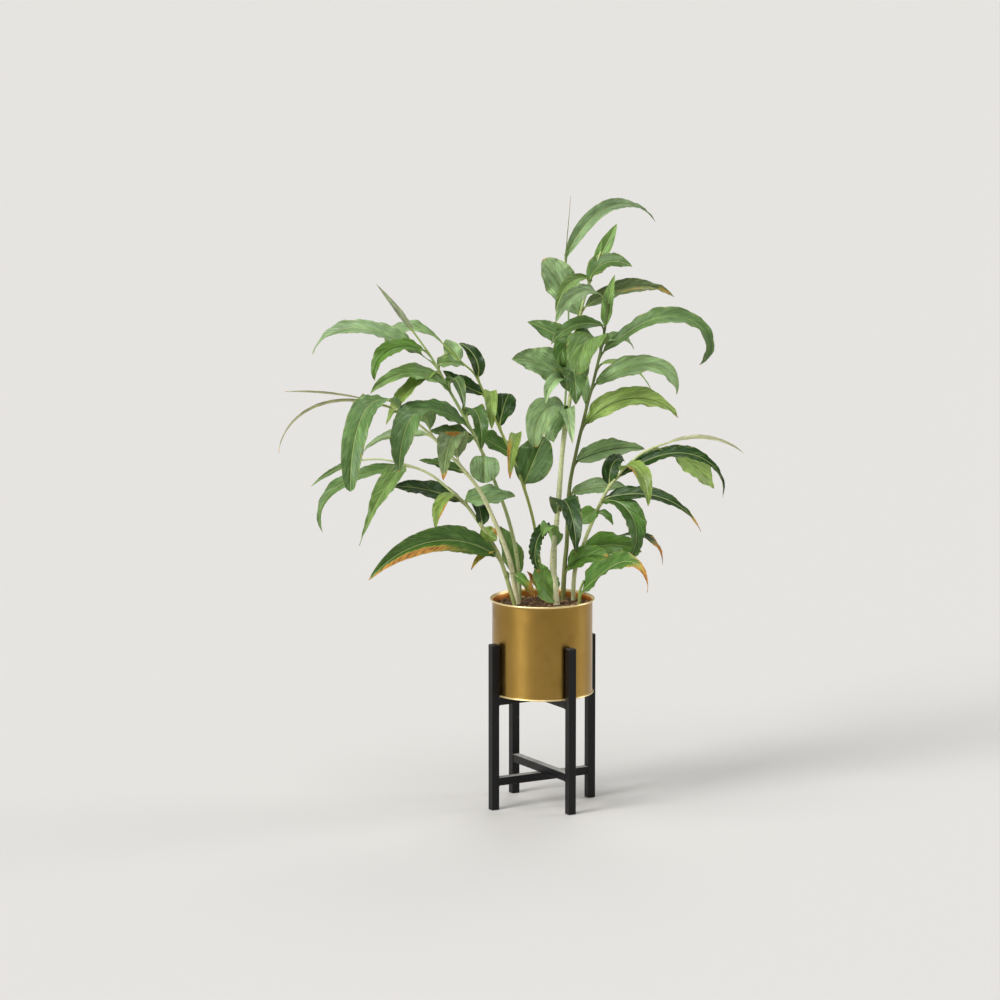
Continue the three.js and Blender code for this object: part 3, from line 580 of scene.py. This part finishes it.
def blade(root, row, index, marks, frilled, seed):
    """One leaf. Its midrib leaves the cane at a rise and droops more and more towards the tip. The
    blade's half width is a narrow stalk and then a sine of the length raised to the skew, itself
    raised to the taper. Both halves arch up from the midrib and their edges wave. The underside
    carries the midrib as a keel. Returns points and faces, their values, and the midrib."""
    _, heading, rise, droop, bend, length, width, roll, sway, green, *shape = row
    tip, pale, stalk, skew, taper = (*shape, *USUAL[len(shape):])
    source = np.random.default_rng(seed)
    rows, columns = 72, 21
    t = np.linspace(0, 1, rows)
    pitch, turn = np.radians(rise - droop * t ** bend), np.radians(heading + sway * t)
    ahead = np.column_stack([np.cos(turn), np.sin(turn), 0 * t])
    tangent = ahead * np.cos(pitch)[:, None] + np.column_stack([0 * t, 0 * t, np.sin(pitch)])
    flat = np.column_stack([np.sin(turn), -np.cos(turn), 0 * t])
    upright = np.cross(flat, tangent)
    lean = math.radians(roll)
    side = flat * math.cos(lean) - upright * math.sin(lean)
    normal = upright * math.cos(lean) + flat * math.sin(lean)
    walk = (tangent[1:] + tangent[:-1]) / 2 * length / (rows - 1)
    centre = root + np.vstack([np.zeros((1, 3)), np.cumsum(walk, axis=0)])

    # The half width, which is never less than the stalk's or the tip's, and the points across it,
    # which stand closer near the midrib
    open_blade = np.clip((t - stalk) / (1 - stalk), 0, 1)
    half = width / 2 * np.abs(np.sin(np.pi * open_blade ** skew)) ** taper
    half = np.maximum(half, 1.8 - 1.3 * t)
    even = np.linspace(-1, 1, columns)
    across = 0.35 * even + 0.65 * even ** 3
    out = np.abs(across) * half[:, None]
    sign = np.sign(across)

    # The fold of the two halves, the slow wave and the ripples of their edges, the pleats along the
    # veins and the crumples. All but the fold die away towards the midrib.
    arch = half[:, None] * math.tan(FOLD) * np.abs(across) ** 0.85
    calm = np.minimum(1, half / 12)[:, None] * across ** 2
    wave = 0.06 * width * np.sin(5 * np.pi * t[:, None] + 1.7 * index + sign) * calm
    swing, turns = source.uniform(0, 2 * np.pi, 4), source.uniform(6.5, 11, 2)
    ripple = np.where(sign > 0, np.sin(2 * np.pi * turns[0] * t[:, None] + swing[0]),
                      np.sin(2 * np.pi * turns[1] * t[:, None] + swing[1]))
    ripple = 0.010 * width * ripple * calm * np.abs(across)
    if frilled:
        ripple += 0.09 * width * np.sin(2 * np.pi * 13 * t[:, None] + swing[1] + 2 * sign) * across ** 4
        ripple += 0.05 * width * np.sin(2 * np.pi * 21 * t[:, None] + swing[0] - 3 * sign) * across ** 2
    slant = t[:, None] * length - VEIN_SLOPE * out
    pleat = 0.5 * np.sin(2 * np.pi * slant / 19 + swing[2])
    pleat = (pleat + 0.3 * np.sin(2 * np.pi * slant / 10.7 + swing[3])) * calm
    crumple = np.zeros((rows, columns))
    for _ in range(5):
        long, aside = source.uniform(22, 60), source.uniform(-2.5, 2.5)
        start = source.uniform(0, 2 * np.pi)
        crumple += np.sin(2 * np.pi * t[:, None] * length / long + aside * across * 1.6 + start)
    crumple *= 0.016 * width * calm ** 0.5 * np.abs(across) ** 0.5
    lift = arch + wave + ripple + pleat + crumple

    # The upper and lower skins, with a groove over the midrib and a keel under it
    keel = (2.3 - 2.1 * t ** 0.6)[:, None] * np.exp(-(out / 1.3) ** 2)
    groove = (0.5 - 0.4 * t)[:, None] * np.exp(-(out / 1.0) ** 2)
    flesh = 0.22 - 0.12 * np.abs(across)
    middle = centre[:, None] + side[:, None] * (across * half[:, None])[..., None]
    upper = middle + normal[:, None] * (lift + flesh - groove * (half[:, None] > 4))[..., None]
    lower = middle + normal[:, None] * (lift - flesh - keel)[..., None]
    points = np.concatenate([upper, lower[:, ::-1]], axis=1)
    faces = grid_faces(rows, 2 * columns)
    j = np.arange(columns - 1)
    root_end = np.stack([j, 2 * columns - 1 - j, 2 * columns - 2 - j, j + 1], -1)
    faces = np.vstack([faces, root_end, root_end[:, ::-1] + (rows - 1) * 2 * columns])

    def both(values):
        """The same values on the upper skin and, back to front, on the lower one."""
        return np.concatenate([values, values[:, ::-1]], axis=1).ravel()

    # How dry the leaf is, most at its tip, along its edges and in its marks, and its own green
    dry = np.clip((t - 1 + tip) / max(tip, 0.01), 0, 1.2)[:, None] * (0.75 + 0.25 * np.abs(across))
    dry = dry + 0.22 * np.abs(across) ** 6 + 0.05
    for along, aside, long, broad, strength in marks:
        spot = ((t[:, None] - along) / long) ** 2 + ((across - aside) / broad) ** 2
        dry = np.maximum(dry, strength * np.exp(-spot))
    rib = out / (1.9 - 1.3 * t)[:, None]
    vein = (slant + 3 * (sign > 0)) * 0.001
    tone = np.array(linear(*GREENS[green])[:3]) * source.uniform(0.92, 1.08)
    tone = tone * source.uniform(0.97, 1.03, 3)
    colour = tone * (1.12 - 0.22 * t)[:, None, None] * np.ones((rows, 2 * columns, 1))
    under = np.concatenate([np.zeros((rows, columns)), np.ones((rows, columns))], axis=1).ravel()
    grain = [both(vein), both(sign * out) * 0.001, np.full(under.shape, 0.37 * seed)]
    values = {"dry": both(dry), "rib": both(rib), "vein": both(vein), "under": under,
              "pale": np.full(under.shape, pale), "tone": colour.reshape(-1, 3),
              "grain": np.column_stack(grain)}
    return (points.reshape(-1, 3), faces), values, centre


def wrapped_stem(line, length, radii, leaves, ribs, foot_colour, top_colour):
    """The cane: a tube that thins evenly, a little thicker for a hand's breadth under every leaf,
    where that leaf's sheath wraps it. From each sheath a smaller tube bends out along the leaf's
    stalk, on the curve that its two ends and the sheath's top draw. Returns points and faces, and
    their values."""
    rows, sides, stalk_rows = int(length / 3.5), 20, 12
    share = np.linspace(0, 1, rows)
    radius = radii[0] + (radii[1] - radii[0]) * share - 0.3
    edge = np.zeros(rows)
    for row in leaves:
        below = (row[0] - share) * length
        radius = radius + np.where(below >= 0, 0.35 * np.exp(-np.abs(below) / 60), 0)
        edge = np.maximum(edge, np.where(below >= -1, np.exp(-np.abs(below) / 3), 0))
    pieces = [(line(share), radius, share * length, edge, share)]
    for row, rib in zip(leaves, ribs):
        place, leaf_length, leaf_width = row[0], row[5], row[6]
        w = np.linspace(0, 1, stalk_rows)
        c = w[:, None]
        foot, knee = line(max(place - STALK_ROOT / length, 0.01))[0], line(place)[0]
        far = rib[np.searchsorted(np.linspace(0, leaf_length, len(rib)), STALK_REACH)]
        path = (1 - c) ** 2 * foot + 2 * c * (1 - c) * knee + c ** 2 * far
        thick = radii[0] + (radii[1] - radii[0]) * place + 0.15
        thin = min(1.75, 0.5 * leaf_width)
        radius, along = thick + (thin - thick) * w ** 0.7, place * length + STALK_ROOT * w
        pieces.append((path, radius, along, 0.5 * w, place + 0 * w))
    parts, edges, tones, grains = [], [], [], []
    for centres, radius, along, edge, share in pieces:
        parts.append(tube(centres, radius, sides))
        pad = np.r_[0, np.arange(len(centres)), len(centres) - 1]
        edges.append(np.repeat(edge[pad], sides))
        mix = np.clip(share[pad] * 1.1, 0, 1)[:, None]
        tone = (1 - mix) * np.array(linear(*foot_colour)[:3]) + mix * np.array(linear(*top_colour)[:3])
        tones.append(np.repeat(tone, sides, axis=0))
        angle = np.tile(2 * np.pi * np.arange(sides) / sides, len(pad))
        grains.append(np.column_stack([np.cos(angle), np.sin(angle), np.repeat(along[pad], sides) / 40]))
    return joined(parts), {"edge": np.concatenate(edges), "tone": np.vstack(tones),
                           "grain": np.vstack(grains)}


FINE_VEINS, BROAD_VEINS = 0.0034, 0.0150
VEIN_GREEN, UNDER_GREEN = linear(176, 198, 138), linear(160, 182, 124)
PALE_RIB, DARK_RIB = linear(190, 204, 134), linear(52, 66, 34)
YELLOWED, DRY_STREAK, DRY_GOLD = linear(206, 186, 90), linear(150, 104, 56), linear(216, 160, 74)
DEAD_BROWN, SPECK = linear(126, 88, 54), linear(112, 96, 50)
leaf_skin, tree, shader, place = new_finish("galangal_leaf", 0.4)
tone = add(tree, "Attribute", attribute_name="tone").outputs["Color"]
dry, rib, vein, under, pale = (add(tree, "Attribute", attribute_name=name).outputs["Fac"]
                               for name in ("dry", "rib", "vein", "under", "pale"))
grain = add(tree, "Attribute", attribute_name="grain").outputs["Vector"]
shader.inputs["Specular IOR Level"].default_value = 0.45

# Light and dark on the leaf: streaks along the veins, creases across them, folds, veins and clouds.
# The creases and folds are painted shade of the leaf's crumpled relief, and the clouds partly a
# painted sheen on it; the streaks and veins are the leaf's own uneven tone.
streak = noise(tree, grain, 180, 4, (1, 3, 1))
fold = noise(tree, grain, 50, 3, (1, 1.6, 1))
crease = noise(tree, grain, 210, 3, (16, 1, 1))
wander = noise(tree, place, 40, 3)
fine = maths(tree, "SINE", times(tree, vein, 2 * math.pi / FINE_VEINS, wander))
wander = times(tree, wander, 5)
broad = maths(tree, "SINE", times(tree, vein, 2 * math.pi / BROAD_VEINS, wander))
cloud = noise(tree, place, 26, 5)
# Painted shade in the creases and folds and painted sheen in the clouds, over the leaf's own streaky
# tone
light = level(tree, streak, 0.3, 0.7, 0.80, 1.16)
light = times(tree, light, level(tree, cloud, 0.25, 0.75, 0.87, 1.13))
light = times(tree, light, level(tree, fold, 0.3, 0.7, 0.91, 1.08))
light = times(tree, light, level(tree, crease, 0.34, 0.62, 0.78, 1.10))
light = times(tree, broad, 0.05, times(tree, fine, 0.04, light))
colour = mixed(tree, 1.0, tone, light, "MULTIPLY")
vein_line = level(tree, streak, 0.54, 0.68)
vein_line = times(tree, vein_line, level(tree, cloud, 0.35, 0.6, 0.05, 0.35))
colour = mixed(tree, vein_line, colour, VEIN_GREEN)
colour = mixed(tree, times(tree, under, 0.30), colour, UNDER_GREEN)
line = level(tree, rib, 0.5, 1.4, 0.85, 0.0)
colour = mixed(tree, times(tree, line, level(tree, pale, 0.0, 1.0)), colour, PALE_RIB)
colour = mixed(tree, times(tree, line, level(tree, pale, 0.0, -1.0)), colour, DARK_RIB)

# Where the leaf is drying it turns yellow, then gold with brown streaks, and brown at the very end
ragged = times(tree, streak, 0.9, maths(tree, "ADD", dry, -0.45))
colour = mixed(tree, level(tree, ragged, 0.24, 0.42, 0.0, 0.75), colour, YELLOWED)
parched = mixed(tree, level(tree, streak, 0.40, 0.56), DRY_STREAK, DRY_GOLD)
colour = mixed(tree, level(tree, ragged, 0.42, 0.52), colour, parched)
colour = mixed(tree, level(tree, ragged, 0.85, 1.30), colour, DEAD_BROWN)
specks = level(tree, noise(tree, place, 330, 2), 0.72, 0.77, 0.0, 0.6)
colour = mixed(tree, specks, colour, SPECK)
tree.links.new(colour, shader.inputs["Base Color"])
dullness = times(tree, under, 0.14, level(tree, ragged, 0.3, 0.6, 0.36, 0.75))
tree.links.new(dullness, shader.inputs["Roughness"])

# The relief of the same streaks, veins, folds and creases, and a tilt of both halves up from the
# midrib. The leaf is thin, so some light shines through it.
relief = times(tree, broad, 0.05, times(tree, fine, 0.04, streak))
relief = times(tree, fold, 2.5, times(tree, crease, 1.2, relief))
aside = maths(tree, "ABSOLUTE", add(tree, "SeparateXYZ", {0: grain}).outputs[1])
facing = times(tree, under, -400.0, 200.0)
relief = times(tree, aside, facing, relief)
relief = bumped(tree, shader, 0.6, 0.0016, relief)
lit_through = mixed(tree, 1.0, colour, (1.15, 1.2, 0.95, 1), "MULTIPLY")
glow = add(tree, "BsdfTranslucent", {"Color": lit_through, "Normal": relief})
thin = add(tree, "MixShader", {0: 0.28, 1: shader.outputs[0], 2: glow.outputs[0]})
tree.links.new(thin.outputs[0], tree.nodes["Material Output"].inputs["Surface"])

SHEATH_EDGE, STEM_SPOT = linear(150, 122, 70), linear(140, 124, 76)
stem_skin, tree, shader, place = new_finish("galangal_stem", 0.5)
tone = add(tree, "Attribute", attribute_name="tone").outputs["Color"]
grain = add(tree, "Attribute", attribute_name="grain").outputs["Vector"]
edge = add(tree, "Attribute", attribute_name="edge").outputs["Fac"]
fibre = noise(tree, grain, 7, 4)
light = level(tree, fibre, 0.3, 0.7, 0.64, 1.06)
light = times(tree, noise(tree, place, 22, 4), 0.35, light)
colour = mixed(tree, 1.0, tone, light, "MULTIPLY")
colour = mixed(tree, level(tree, edge, 0.35, 0.8, 0.0, 0.55), colour, SHEATH_EDGE)
spots = level(tree, noise(tree, place, 140, 3), 0.62, 0.70, 0.0, 0.5)
colour = mixed(tree, spots, colour, STEM_SPOT)
tree.links.new(colour, shader.inputs["Base Color"])
bumped(tree, shader, 0.4, 0.0004, fibre)
glow = add(tree, "BsdfTranslucent", {"Color": colour})
thin = add(tree, "MixShader", {0: 0.08, 1: shader.outputs[0], 2: glow.outputs[0]})
tree.links.new(thin.outputs[0], tree.nodes["Material Output"].inputs["Surface"])


def grow(name, radii, route, leaves, foot_colour, top_colour, marks=None, frilled=()):
    """Makes a cane and its leaves as two pieces in place of the plain solid of that name. Lengths are
    in millimetres from the planter's axis at the floor. A leaf row holds its place along the
    cane from 0 to 1, heading (0 is to the right, 90 to the back), rise, droop, bend, length,
    width, roll, sway and green. Where they aren't the usual ones, it goes on with the share of the
    tip that is dry, how pale the midrib is, from -1, dark, to 1, the share of bare stalk, skew
    and taper. A mark is a dry patch on the leaf of that index: its place along and across, its
    length and breadth, and its strength. A frilled leaf's edges are tightly curled."""
    line, length = cane_line(route)
    blades = [blade(line(row[0])[0], row, index, (marks or {}).get(index, ()), index in frilled,
                    31 * index + len(route)) for index, row in enumerate(leaves)]
    parts, values, ribs = zip(*blades)
    values = {key: np.concatenate([each[key] for each in values]) for key in values[0]}
    shift, metre = np.array([axis_x, axis_y, 0]), 0.001
    points, faces = joined(parts)
    new_piece(f"{name}_leaves", points * metre + shift, faces, leaf_skin, "foliage", (name,), values)
    (points, faces), values = wrapped_stem(line, length, radii, leaves, ribs, foot_colour, top_colour)
    new_piece(f"{name}_stem", points * metre + shift, faces, stem_skin, "foliage", (name,), values)


grow("cane_a", (6, 2.2), (
    (-55, 45, 495), (-60, 45, 590), (-80, 40, 690), (-115, 40, 790), (-165, 35, 905), (-230, 35, 1025),
    (-270, 30, 1100), (-330, 30, 1185),
), (
    (0.97, 180, 55, 5, 1, 140, 17, -60, 0, "pale", 0.03, 0.6, 0, 0.55),
    (0.84, 175, 35, 105, 2.2, 355, 52, -35, -10, "bloom", 0.02, 0.6, 0.12),
    (0.89, 205, 20, 125, 1.8, 195, 48, -30, 10, "fresh", 0.02, -0.6),
    (0.72, 205, 60, 105, 1, 265, 50, -38, 5, "leaf"),
    (0.61, 205, 45, 60, 1, 230, 58, -38, 0, "soft"),
    (0.59, 215, 5, -15, 1.2, 135, 56, -45, 0, "shade"),
    (0.65, -70, 60, 170, 1, 200, 48, 0, -5, "mid", 0.02),
    (0.76, -75, 65, 140, 0.8, 175, 34, 0, 5, "shade", 0.02),
    (0.84, 30, 10, 35, 1.2, 80, 48, 30, 0, "leaf"),
    (0.82, 215, -5, 60, 0.8, 200, 42, -20, -5, "lime", 0.03),
    (0.53, -85, -45, 40, 1, 74, 74, 0, 5, "silver", 0.01, 0.6, 0.05, 1, 0.5),
    (0.13, 175, 70, 0, 1.4, 135, 60, -50, 0, "leaf", 0.03),
), (190, 200, 142), (156, 178, 104),
    {5: ((0.45, 0.1, 0.25, 0.3, 0.75),)})


# Cane B. The longest arch to the left, in front of the others. A pale, thick stem that carries the
# broadest leaf at its end, with two thin half-dry leaves beyond it.
grow("cane_b", (7.5, 2.5), (
    (-60, -15, 495), (-75, -25, 590), (-100, -45, 670), (-145, -65, 775), (-185, -80, 835),
    (-225, -90, 880), (-270, -100, 930), (-320, -110, 975), (-350, -115, 995),
), (
    (0.98, 240, 40, 130, 1, 430, 64, -8, 20, "soft", 0, 1, 0.05, 0.9, 0.4),
    (0.99, 195, 25, 25, 0.8, 285, 7, -40, -5, "straw", 0.05, 0.6, 0, 1.5),
    (0.98, 195, 20, 105, 1.8, 365, 10, -40, -5, "straw", 0.05),
    (0.84, 165, 0, 55, 2.2, 185, 32, -42, -5, "bloom"),
    (0.84, 250, 80, 170, 0.8, 310, 74, 0, 0, "soft", 0.02, 1, 0.05, 0.85, 0.7),
    (0.69, 265, 95, 175, 0.8, 270, 66, 0, -10, "dull", 0.1),
    (0.64, 190, 20, 10, 1.6, 120, 36, -38, 0, "shade"),
    (0.2, -10, -40, 25, 1.6, 85, 34, 30, 0, "spring", 0.7),
), (238, 232, 190), (196, 206, 142),
    {7: ((0.85, 0, 0.4, 2, 0.6),)})


# Cane C. A slim yellow-green cane behind cane A, with short leaves that mostly turn their dark faces
# away from the light, and two small half-dry leaves near its foot.
grow("cane_c", (5, 2), (
    (5, 60, 495), (-5, 70, 575), (-20, 80, 680), (-45, 90, 770), (-80, 100, 860), (-110, 105, 925),
    (-160, 120, 1035), (-200, 125, 1075), (-240, 130, 1115),
), (
    (0.99, 180, 46, 150, 1.8, 190, 42, -40, 0, "bloom", 0.01, 0.6, 0, 1.8, 0.7),
    (0.92, 155, 45, -15, 1.2, 66, 44, -55, 0, "silver", 0.01, 0.6, 0.05, 0.72, 0.6),
    (0.84, 150, 115, 100, 0.8, 110, 36, -45, 5, "dark", 0.01, 0.8),
    (0.78, 175, 20, -20, 1.2, 120, 46, -40, -5, "dark"),
    (0.74, -90, 70, 170, 1, 205, 32, 0, 5, "lime", 0.02, 0.6, 0.05, 1.2),
    (0.66, 60, 75, 30, 1, 92, 64, 15, 0, "dark", 0.01, 0.8, 0.05, 1.4, 0.5),
    (0.56, 195, 35, 5, 1, 125, 56, -45, 0, "mid", 0.01, 0.7),
    (0.45, 45, 60, 5, 1, 135, 94, 45, 0, "shade", 0.01, 0.9, 0.05, 0.85, 0.6),
    (0.07, 195, 55, -5, 1.2, 80, 32, -40, 0, "lime", 0.7),
    (0.56, -75, 70, 155, 1, 275, 30, 0, -35, "lime", 0.1, 0.6, 0.05, 1.2),
), (172, 180, 104), (160, 180, 92),
    {8: ((0.85, 0, 0.35, 2, 0.75),), 9: ((0.8, 0.8, 0.25, 0.6, 0.6),)})


# Cane D. The lowest cane on the left. It bends over early and ends almost level. One long dark leaf
# hangs from it with a dry brown edge.
grow("cane_d", (5.5, 2.2), (
    (-65, -45, 495), (-90, -50, 580), (-110, -45, 635), (-145, -35, 690), (-185, -20, 745),
    (-225, -10, 780), (-270, 0, 815), (-320, 10, 835), (-385, 15, 850), (-430, 20, 850),
), (
    (0.56, 10, 10, 15, 1.4, 130, 60, 42, 0, "bloom", 0.02),
    (0.99, 190, -5, 35, 0.8, 155, 18, -42, 0, "soft", 0.03),
    (0.82, 200, -5, 115, 2.6, 315, 40, -34, -10, "soft", 0.02),
    (0.84, 245, -10, 50, 0.8, 280, 54, -12, -10, "leaf", 0.02, 0.6, 0.05, 0.45, 1.3),
    (0.55, 165, 20, 30, 1.6, 195, 50, -42, -5, "dark", 0.01, 0.8),
    (0.6, 235, 20, 110, 0.8, 125, 38, -5, 0, "lime"),
    (0.43, 105, 70, 160, 2, 105, 46, 20, -5, "dark"),
    (0.43, -25, -50, -40, 1.6, 50, 42, 45, 0, "lime", 0.01, 0.6, 0.05, 0.9, 0.5),
    (0.28, 210, 40, 85, 1, 400, 68, -60, 0, "mid", 0.03, 0.9, 0.05, 0.62),
    (0.32, 225, 10, 65, 1, 100, 18, -30, 0, "yellow", 0.2),
    (0.19, 180, 85, 30, 1.4, 30, 16, -40, 0, "lime", 0.1),
), (160, 170, 98), (190, 200, 148),
    {5: ((0.7, -0.9, 0.3, 0.25, 0.8),), 7: ((0.7, -0.9, 0.4, 0.3, 0.8),),
     8: ((0.72, -0.7, 0.38, 0.35, 0.9),)})


# Cane E. The tallest and thickest cane, nearly upright, pale at its foot. It carries the most leaves,
# many of them hanging down in front of it.
grow("cane_e", (8, 2.5), (
    (35, -20, 495), (30, -20, 560), (25, -20, 600), (30, -15, 660), (40, -15, 760), (50, -10, 890),
    (80, -5, 1100), (90, -5, 1205), (115, 0, 1290), (140, 0, 1360),
), (
    (0.96, 30, 60, 5, 1.4, 115, 34, 55, 5, "leaf", 0.01, 0.6, 0),
    (0.82, 195, 62, 10, 1, 170, 84, -80, 0, "silver", 0.02, 0.6, 0.05, 1.2, 0.5),
    (0.91, -20, 90, 120, 0.8, 140, 54, 50, 0, "shade", 0.02, 0.6, 0.05, 0.6),
    (0.92, 225, 35, 115, 0.8, 160, 28, -40, 0, "leaf", 0.02),
    (0.84, 15, 30, 70, 1.8, 250, 46, 42, 0, "dull", 0.04),
    (0.74, 170, 30, 10, 1.6, 135, 56, -50, 5, "soft", 0.01, 0.8),
    (0.74, 235, 50, 210, 1.2, 125, 50, -10, 0, "mid", 0.02),
    (0.65, 195, 35, 40, 1.8, 165, 84, -62, -5, "bloom"),
    (0.62, 235, 75, 165, 1, 155, 38, -20, 0, "silver"),
    (0.61, -85, 80, 180, 1.2, 215, 80, 0, 0, "shade", 0.02),
    (0.57, 230, 35, 145, 1.2, 195, 70, -20, 5, "bloom", 0.02, 0.7, 0.05, 0.8, 0.6),
    (0.56, 230, -15, 110, 2, 95, 60, -10, -5, "silver"),
    (0.52, -95, 85, 155, 0.8, 230, 42, 0, 20, "silver", 0.02),
    (0.28, -80, 85, 180, 0.8, 275, 60, 0, 10, "dark", 0.02),
    (0.2, 245, 95, 170, 1.6, 120, 48, -20, 0, "spring"),
    (0.06, 200, 50, -30, 1.2, 120, 70, -72, 0, "spring"),
    (0.26, 225, 40, 170, 0.7, 165, 34, -20, 5, "dark", 0.1),
), (224, 222, 180), (184, 202, 132),
    {4: ((0.6, 0.4, 0.3, 0.25, 0.45), (0.9, 0, 0.1, 1, 0.5))}, frilled=(16,))


# Cane F. A slim olive cane to the right of cane E. Its long leaves reach to the right and hook over
# at their tips.
grow("cane_f", (6.5, 2.2), (
    (50, 35, 495), (55, 35, 590), (60, 35, 645), (65, 30, 770), (80, 15, 860), (105, -5, 975),
    (120, -15, 1035), (140, -30, 1125), (150, -35, 1180), (160, -40, 1240),
), (
    (0.93, 15, 85, 15, 1.6, 125, 30, 55, 0, "leaf", 0.02, 0.6, 0),
    (0.84, 0, 40, 185, 2.4, 380, 48, 42, 0, "soft", 0.02, 0.6, 0.03, 0.9, 0.6),
    (0.74, 0, 30, 130, 2.4, 255, 58, 44, -5, "silver", 0.02, 0.6, 0.04, 0.72, 0.7),
    (0.6, -5, 50, 105, 1.4, 275, 62, 46, 5, "bright", 0.04, -0.7),
    (0.49, 10, 25, 35, 1.2, 180, 56, 48, 0, "silver", 0.02, -0.7),
    (0.39, -10, 20, 35, 1.4, 155, 44, 48, -5, "bloom"),
    (0.15, -30, 45, 70, 1.4, 150, 60, 52, 0, "fresh", 0.02, -0.7),
    (0.67, 100, 40, 15, 1.4, 130, 26, 15, -20, "silver"),
    (0.93, 200, 15, 75, 1.4, 155, 42, -36, -5, "shade"),
    (0.86, 245, 60, 160, 1, 190, 84, -10, 0, "leaf", 0.01, 0.6, 0.05, 0.9, 0.5),
    (0.88, 30, 25, 90, 1.2, 105, 30, 42, 5, "silver"),
    (0.8, 45, 25, 90, 0.8, 215, 16, 42, -15, "bright", 0.02),
    (0.99, 220, 70, 140, 0.8, 215, 38, -40, 0, "bloom", 0.02, 0.6, 0.25),
), (126, 132, 72), (104, 124, 66),
    {6: ((0.88, -0.4, 0.09, 0.5, 0.6),)})


# Cane G. The lowest cane on the right. It leans far out and ends in a pale spear, half dry, with long
# dark leaves under it.
grow("cane_g", (6, 2.2), (
    (75, 40, 495), (80, 45, 570), (100, 40, 635), (120, 10, 695), (145, -25, 760), (170, -40, 805),
    (225, -50, 865), (265, -55, 890), (305, -60, 905),
), (
    (0.7, -10, 36, 140, 2, 350, 44, 38, 10, "dark", 0.02, 0.7, 0.05, 0.6, 1),
    (0.99, -5, 20, 60, 1.2, 195, 13, 42, 5, "cream", 0.02, 0.6, 0),
    (0.93, 20, -15, 40, 1, 195, 70, 60, 0, "bright", 0.03, 0.6, 0.3, 0.7),
    (0.74, -60, 50, 145, 1, 200, 46, 10, -5, "lime", 0.03),
    (0.6, -15, 15, 80, 1.6, 280, 44, 38, -5, "dark", 0.2, 0.7, 0.05, 0.5, 1.2),
    (0.67, 50, 100, 150, 1.6, 105, 42, 42, -5, "dark"),
    (0.54, 225, -20, -5, 1.2, 105, 48, -34, 0, "spring"),
    (0.53, -40, 0, 55, 0.8, 60, 26, 10, 0, "fresh"),
    (0.56, -40, 50, 190, 0.8, 240, 58, 20, 5, "mid", 0.01, 0.7),
    (0.3, 15, 20, 50, 1.2, 160, 66, 45, 0, "fresh"),
    (0.26, 35, 28, 120, 2.2, 300, 28, 38, -10, "dark", 0.35, 0.6, 0.05, 2.8, 1.2),
), (196, 200, 150), (182, 194, 128),
    {3: ((0.5, 0.85, 0.15, 0.3, 0.7),)})


# Cane H. A thin cane behind cane E that carries the topmost leaf, bent over to the right, and a dry
# thread that stands up from its tip.
grow("cane_h", (5, 1.8), (
    (30, 75, 495), (35, 80, 700), (50, 80, 900), (62, 75, 1100), (62, 70, 1250), (54, 65, 1345),
), (
    (0.99, 45, 55, 105, 1.4, 360, 36, 45, -5, "bloom", 0.02, 0.6, 0),
    (0.99, 0, 85, 0, 1.2, 150, 3, 0, 0, "dull", 0.25, 0.6, 0),
), (140, 160, 96), (130, 156, 92))


# Basal shoot. A young shoot at the right of the canes' feet, with one broad leaf close over the
# soil.
grow("basal_shoot", (4.5, 3), (
    (90, -45, 495), (90, -50, 535), (100, -55, 565),
), (
    (0.7, -45, 38, 150, 3.4, 320, 86, 48, -10, "mid", 0.4, 0.8, 0.05, 0.45, 1.5),
), (170, 176, 110), (130, 156, 76))

low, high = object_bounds()
